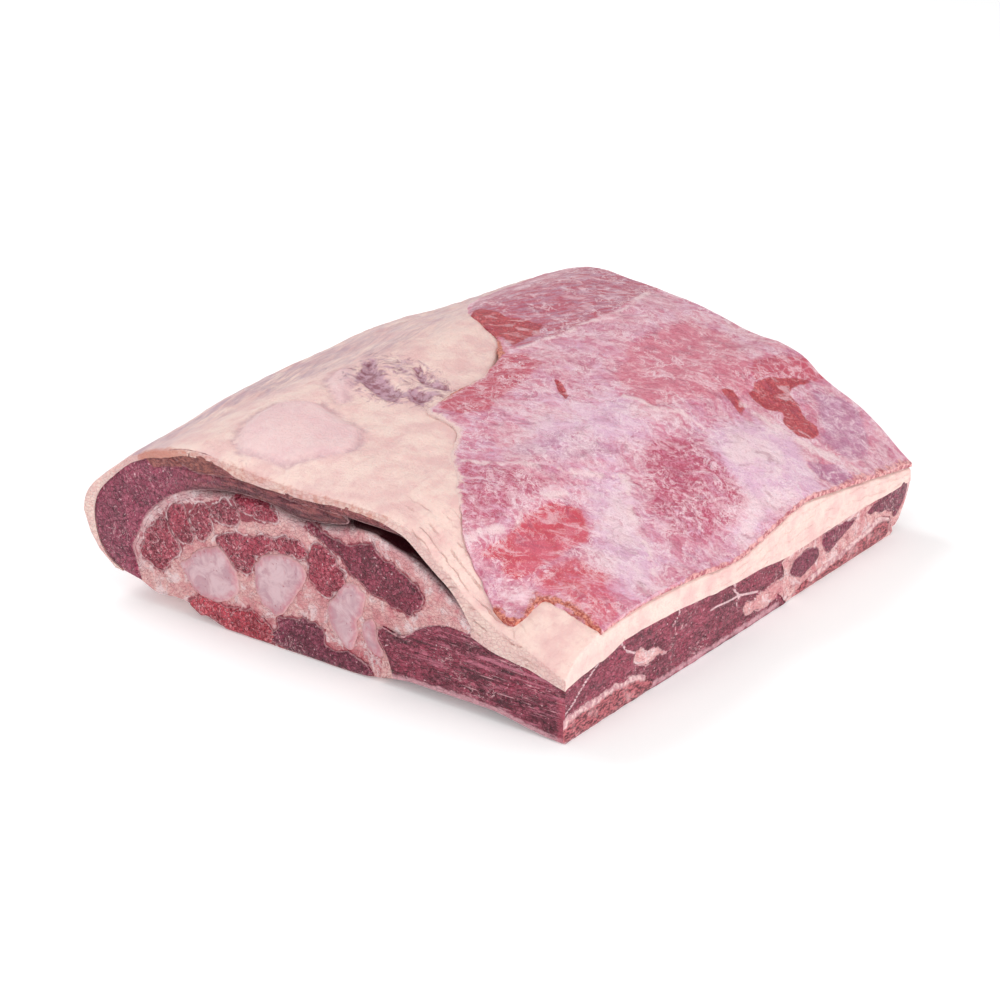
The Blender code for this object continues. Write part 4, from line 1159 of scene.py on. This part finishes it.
def build_fat_cap():
    shape = tube(fat_cap_section, FINE_STATIONS, cut_relief(fat_cap_section(-HALF_LENGTH), 0.3, 0.7, 9, 21, 0.5), 1.25,
                 skin=fat_relief, side=right_relief([], 0.35, 0.6, 33))
    points, _, cut = shape
    x, y, z = points.T
    plan = points[:, :2]
    surface = top(x, y)
    below = surface - z
    on_right = smooth_step(142.5, 144, x)
    on_front = (cut > 0) & (y < 0)
    layer = below + 1.6 * fractal(level(points[:, 1:]), 22, 3, 19)
    away, folded = lip_folds(points)
    away = np.where(on_front, line_distance(points[:, [0, 2]], lean_top_right),
                    np.where(on_right > 0.5, layer, away))
    folded = np.where(on_front, 0.7 * smooth_step(66, 78, x) * (1 - smooth_step(118, 136, x)),
                      np.maximum(folded, 0.25 * on_right * smooth_step(-60, 0, y)))
    rag = np.exp(-(y + HALF_LENGTH) / 6.0) * smooth_step(-114, -104, x) * (1 - smooth_step(40, 70, x))
    rag = rag * (0.85 + 0.4 * (1 - smooth_step(-88, -70, x)))
    lip = on_right * (0.9 * hill(below, 5.5) * smooth_step(72, 82, y)
                      + 0.8 * hill(below, 3.0) * smooth_step(-60, -40, y))
    high = smooth_step(0.8, 0.97, z / surface)
    pits = np.max([patch(plan, pit, 3.0) for pit in PITS], axis=0)
    # Where painted shade lies along the rims of the lobes.
    lobe_rims = [hill(line_distance(wander(plan), lobe, closed=True), 2.6) for lobe in (LOBE, SECOND_LOBE)]
    place("fat_cap", shape,
          streak=streak_amount(x, y) * (1 - cut) * (1 - 0.35 * smooth_step(-60, 60, y)),
          pit=np.maximum(pits, 0.45 * patch(plan, PIT_AREA, 6)) * high,
          lobe=(patch(plan, LOBE, 4) + patch(plan, SECOND_LOBE, 3)) * high,
          lobe_rim=np.maximum(*lobe_rims) * high,
          away=away, folded=folded, rag=np.maximum(rag, lip),
          blood=0.25 * cut * (x > 100) + 0.3 * on_right)


def build_seam_fat():
    relief = host_relief(0.9, 0.8, 6, 41, list(PLUG_OUTLINES.values()), recess)
    shape = tube(seam_section, SLIT_STATIONS, relief, 1.1)
    points, _, cut = shape
    x, y, z = points.T
    front = points[:, [0, 2]]
    to_slit = line_distance(front, slit_line)
    to_ring = np.where(x < 60, line_distance(front, ring_line), 12.0)
    to_ring = np.minimum(to_ring, np.where(x > 40, 2.5 + to_slit, 12.0))
    borders = {name: line_distance(front, line, closed=True) for name, line in PLUG_OUTLINES.items()}
    to_muscle = np.min([near for name, near in borders.items() if "muscle" in name], axis=0)
    to_small = np.min([near for name, near in borders.items() if "ring" in name], axis=0)
    low = np.exp(-np.abs(z - 10) / 9) * smooth_step(-90, -60, x) * (x < 40)
    under_flap = curve_value(FLAP_UNDER, np.clip(x, 20, 92))
    # Painted shade: the slit's inner walls, and the folds under the roll's inner edge and along the slit, go
    # near-black through the dark attribute.
    slit_shade = (cut == 0) & (x > 15) & (z > under_flap - 16) & (y < 0)
    fold = (hill(to_ring, 2.4) * smooth_step(-85, -50, x) + hill(to_slit, 1.2) * (x > 20)) * cut
    place("seam_fat", shape, blood=(0.25 + 0.5 * low) * cut, arc=to_ring,
          meaty=np.maximum(0.9 * np.exp(-to_muscle / 3.0), patch(front, RING_BAND, 2)),
          septa=hill(to_small, 1.1) * cut, dark=np.maximum(slit_shade * 1.0, 0.9 * fold))


def build_flap():
    outline = flap_section(-HALF_LENGTH)
    shape = tube(flap_section, SLIT_STATIONS, cut_relief(outline, 0.4, 0.7, 5, 51, 0.8), 1.1)
    front = shape[0][:, [0, 2]]
    # Painted shade along the flap's free lower edge, where it overhangs the slit.
    under = hill(line_distance(front, flap_free), 1.3) * (front[:, 0] > 0)
    place("flap_muscle", shape, edge=edge_of(front, outline, shape[2]),
          brown=0.9 * (1 - smooth_step(-66, -44, front[:, 0])), shade=0.8 * under)


def build_roll():
    outline = roll_section(-HALF_LENGTH)
    shape = tube(roll_section, PLUG_STATIONS, cut_relief(outline, 0.5, 0.7, 8, 61, 1.1), 1.1)
    front = shape[0][:, [0, 2]]
    x = front[:, 0]
    # The shade attribute here is painted shade along the roll's inner edge, above the deep fold.
    place("roll_muscle", shape, edge=edge_of(front, outline, shape[2]),
          dried=0.9 * smooth_step(-95, -35, x), brown=0.9 * patch(front, DRIED_AREA, 1.5),
          shade=0.85 * hill(line_distance(front, ring_line), 2.2) * smooth_step(-95, -60, x))


def build_deep_lean():
    carried = [side_outline] + [SIDE_OUTLINES[name] for name in ("rib_1", "fat_seam_1", "fat_seam_2")]
    outline = lean_section(-HALF_LENGTH)
    shape = tube(lean_section, FINE_STATIONS, cut_relief(outline, 0.4, 1.0, 6, 71, 0.7), 1.1,
                 side=right_relief(carried, 0.6, 0.8, 73, lean=True))
    points, _, cut = shape
    x, y, z = points.T
    front, right = points[:, [0, 2]], points[:, 1:]
    on_right = (x > 139) & (cut == 0)
    distance = edge_of(front, outline, cut)
    distance[on_right] = np.minimum(curve_value(RIGHT_LEAN, y) - z, z + 1.5)[on_right]
    for line in carried[1:]:
        distance[on_right] = np.minimum(distance[on_right], line_distance(right[on_right], line, closed=True))
    low_x = np.linspace(LEAN_LEFT[-1][0], HALF_WIDTH, 40)
    low_line = warp(np.column_stack([low_x, np.full(40, -HALF_LENGTH), np.full(40, LEAN_LEFT[-1][1])]))
    to_bottom = z - np.interp(x, low_line[:, 0], low_line[:, 2])
    low_band = smooth_step(-92, -80, y) * (1 - smooth_step(24, 34, y))
    to_fascia = np.min([line_distance(right, line) for line in FASCIA], axis=0)
    place("deep_lean", shape, edge=np.clip(distance, 0, 6),
          grainy=np.maximum(0.8 * smooth_step(138, 144, x) * (cut == 0),
                            0.9 * (cut > 0) * patch(front, GRAINY_LEAN, 4)),
          pale=np.maximum(1.1 * hill(to_bottom, 3.2) * (cut > 0),
                          0.85 * on_right * low_band * hill(z - 2, 2.6)),
          fascia=on_right * hill(to_fascia, 0.8),
          fresh=0.95 * smooth_step(134, 143, x) * (cut > 0) * (1 - smooth_step(20, 30, z)))


def build_through_pieces():
    """The muscles and cartilages of the ring, which run from the front cut to the back cut."""
    for name, outline in PLUG_OUTLINES.items():
        seed = len(name) * 7 + int(name[-1]) if name[-1].isdigit() else 90
        relief = cut_relief(outline, 0.35, 0.5, 5, seed, 0.8, 0.8, recess)
        shape = tube(lambda y, line=outline: line, PLUG_STATIONS, relief, 1.1)
        place(name, shape, edge=edge_of(shape[0][:, [0, 2]], outline, shape[2]))


def build_side_pieces():
    """The side fat, and the ribs, muscles and seams that show on the right cut."""
    carried = [line for name, line in SIDE_OUTLINES.items() if name in FOLLOWS_LEAN]
    shape = slanted(side_outline, FULL_REACH, host_relief(0.6, 0.9, 6, 81, carried), 1.1, follow=True)
    place("side_fat", shape, blood=shape[2] * (0.3 + 0.5 * spot(shape[0][:, 1:], (126, 27), (22, 6))),
          arc=FAR + 0 * shape[2], meaty=0.5 * shape[2])
    for name, (_, reach) in SLANTED_PIECES.items():
        outline = SIDE_OUTLINES[name]
        relief = cut_relief(outline, 0.35, 0.5, 5, len(name) + int(name[-1]), 0.8, 0.8)
        shape = slanted(outline, reach, relief, 1.1, follow=name in FOLLOWS_LEAN)
        border = outline[outline[:, 1] > HARD_RIM_ABOVE.get(name, 0)]
        edge = edge_of(shape[0][:, 1:], border, shape[2], closed=kind_of(name) != "rib")
        place(name, shape, edge=edge, arc=FAR + 0 * shape[2])


# ---------------------------------------------------------------- the muscle sheet on top

def sheet_shape():
    """The sheet's vertices and faces, its free border, and 1 for each vertex of its lower edge."""
    free = curve([(-90, 152.2)] + SHEET_OUTLINE[1:-2] + [(SHEET_RIGHT, -125)], 1.3)
    fade = np.clip(np.minimum(np.arange(len(free)), np.arange(len(free))[::-1]) / 6, 0, 1)
    free = free - sideways(np.gradient(free, axis=0)) * (3.0 * fractal(level(free), 11, 4, 91) * fade)[:, None]
    free[:, 1] = np.clip(free[:, 1], -151.5, 152.2)
    border = chain(free, curve([(SHEET_RIGHT, -124), (SHEET_RIGHT, 152.2)], 1.3),
                   curve([(SHEET_RIGHT - 1, 152.2), (-88.6, 152.2)], 1.3))
    grid, triangles = fill_cap(border, 1.25)
    plan = np.vstack([border, grid])
    flat = level(plan)
    to_free = line_distance(plan, free)
    thick = 0.35 * fractal(flat, 14, 3, 93) + 0.25 * fractal(flat, 4, 2, 95)
    curl = smooth_step(60, 90, plan[:, 0]) * smooth_step(-95, -120, plan[:, 1])
    height = -0.55 + thick - (1.1 - 1.4 * curl) * np.exp(-to_free / 1.1)
    hole = signed_distance(plan, HOLE) + 0.8 * fractal(flat, 4, 2, 97)
    height -= 1.2 * (1 - smooth_step(-1.5, 0.8, hole))
    height += 0.35 * np.max([hill(line_distance(plan, line), 2.0) for line in SEAMS], axis=0)
    height -= 0.5 * patch(plan, STEP_PURPLE, 1.5)
    surface = top(plan[:, 0], plan[:, 1])
    upper = np.column_stack([plan, surface + np.minimum(height, -0.1)])
    count, first_low = len(border), len(upper)
    low_ring = np.column_stack([border, surface[:count] - 2.7])
    low_grid, low_triangles = fill_cap(border, 9.0)
    low_inner = np.column_stack([low_grid, top(low_grid[:, 0], low_grid[:, 1]) - 2.9])
    faces = list(triangles)
    for j in range(count):
        k = (j + 1) % count
        faces.append((j, k, first_low + k, first_low + j))
    faces += [tuple(first_low + i for i in t) for t in low_triangles]
    vertices = np.vstack([upper, low_ring, low_inner])
    skirt = np.zeros(len(vertices))
    skirt[first_low:first_low + count] = 1
    return vertices, faces, free, skirt


def most(*amounts):
    return np.clip(np.max(amounts, axis=0), 0, 1)


def build_sheet():
    vertices, faces, free, skirt = sheet_shape()
    plan = vertices[:, :2]
    x, y = plan.T
    wandered = wander(plan)

    def amount(outline, soft):
        return patch(wandered, outline, soft)

    cover = np.full(len(plan), 0.5)
    for outline, share, soft in MEMBRANE_COVER:
        cover = cover + (share - cover) * amount(outline, soft)
    to_right = (SHEET_RIGHT - x) / (0.8 + 2.8 * smooth_step(75, 95, y))
    edge_line = 0.85 * hill(to_right, 1) * smooth_step(-75, -50, y)
    low_left = (1 - smooth_step(55, 80, x)) * smooth_step(20, -20, y)
    torn = most(patch(plan, TAG, 2), np.exp(-line_distance(plan, TORN_FRONT) / 3.6),
                0.9 * np.exp(-line_distance(plan, TORN_SIDE) / 1.6))
    seams = [hill(line_distance(wandered, line), 2.6) for line in SEAMS]
    place("top_muscle", (vertices, faces, 0 * skirt),
          fresh=most(amount(FRESH_RED, 3), 0.62 * amount(FRESH_PINK, 4)),
          red=most(amount(BACK_RED, 2), amount(RED_T, 1.5), 0.8 * amount(SMALL_RED, 2), patch(plan, HOLE, 1.2)),
          rose=most(amount(ROSE_WEDGE, 3), 0.8 * amount(BACK_ROSE, 3)),
          smooth=amount(SMOOTH_PINK, 8),
          back=amount(BACK_LEAN, 2.5),
          magenta=most(0.8 * amount(MAGENTA, 6), amount(MAGENTA_CORE, 4), 0.6 * amount(ROSE_STRIP, 3)),
          cover=cover,
          purple=most(amount(STEP_PURPLE, 2), 0.6 * amount(MIDDLE_PURPLE, 8), 0.7 * amount(RIGHT_LILAC, 5)),
          seam=most(*seams, hill(line_distance(wandered, CREAM_STRIP), 4.5)),
          tag=np.maximum(torn, 0.6 * skirt * (x < 138)),
          lip=np.maximum(edge_line, skirt * (x > 138)),
          fatty=np.exp(-line_distance(plan, free) / 3.5) * low_left)


build_fat_cap()
build_seam_fat()
build_flap()
build_roll()
build_deep_lean()
build_through_pieces()
build_side_pieces()
build_sheet()


# ---------------------------------------------------------------- floor, light and camera

# Name, place and width in metres, and power in watts of each disc lamp.
LAMPS = [("Key", (-1.3, 0.2, 1.3), 1.0, 15),
         ("Right", (2.0, -0.3, 0.7), 1.4, 28),
         ("Front", (0.1, -1.9, 1.0), 1.2, 9)]
LAMPS_AIM = (0, 0, 0.04)
WORLD_STRENGTH = 0.55
FLOOR_HALF = 8.0
FLOOR_GLOW = 0.16
CAMERA_PLACE = (0.87400225, -1.18287436, 0.66283545)
CAMERA_AIM = (-0.00196963, -0.00296226, 0.03)
LENS = 115.2
SENSOR_WIDTH = 36.0


def stand(obj, place, aim):
    """Puts a lamp or the camera in its place, looking at a point."""
    obj.location = place
    obj.rotation_euler = (Vector(aim) - obj.location).to_track_quat("-Z", "Y").to_euler()
    bpy.context.scene.collection.objects.link(obj)


corners = [(-FLOOR_HALF, -FLOOR_HALF, 0), (FLOOR_HALF, -FLOOR_HALF, 0), (FLOOR_HALF, FLOOR_HALF, 0),
           (-FLOOR_HALF, FLOOR_HALF, 0)]
floor_mesh = bpy.data.meshes.new("Floor")
floor_mesh.from_pydata(corners, [], [(0, 1, 2, 3)])
floor = bpy.data.objects.new("Floor", floor_mesh)
bpy.context.scene.collection.objects.link(floor)
paper = Shader("Paper", 0.9, 0.0, 0.1)
paper.colour = paper.mix(paper.noise(40), (0.93, 0.93, 0.93, 1), (0.95, 0.95, 0.95, 1))
floor_mesh.materials.append(paper.finish(paper.noise(2), 0.02, 0.1))
paper.principled.inputs["Emission Color"].default_value = (1, 1, 1, 1)
paper.principled.inputs["Emission Strength"].default_value = FLOOR_GLOW

for name, spot_place, width, power in LAMPS:
    lamp = bpy.data.lights.new(name, "AREA")
    lamp.shape = "DISK"
    lamp.size = width
    lamp.energy = power
    stand(bpy.data.objects.new(name, lamp), spot_place, LAMPS_AIM)

world = bpy.data.worlds.new("Studio")
bpy.context.scene.world = world
world.use_nodes = True
world.node_tree.nodes["Background"].inputs["Color"].default_value = (1, 1, 1, 1)
world.node_tree.nodes["Background"].inputs["Strength"].default_value = WORLD_STRENGTH

camera_data = bpy.data.cameras.new("Camera")
camera_data.lens = LENS
camera_data.sensor_width = SENSOR_WIDTH
camera = bpy.data.objects.new("Camera", camera_data)
stand(camera, CAMERA_PLACE, CAMERA_AIM)
bpy.context.scene.camera = camera
bpy.context.scene.view_settings.view_transform = "Standard"
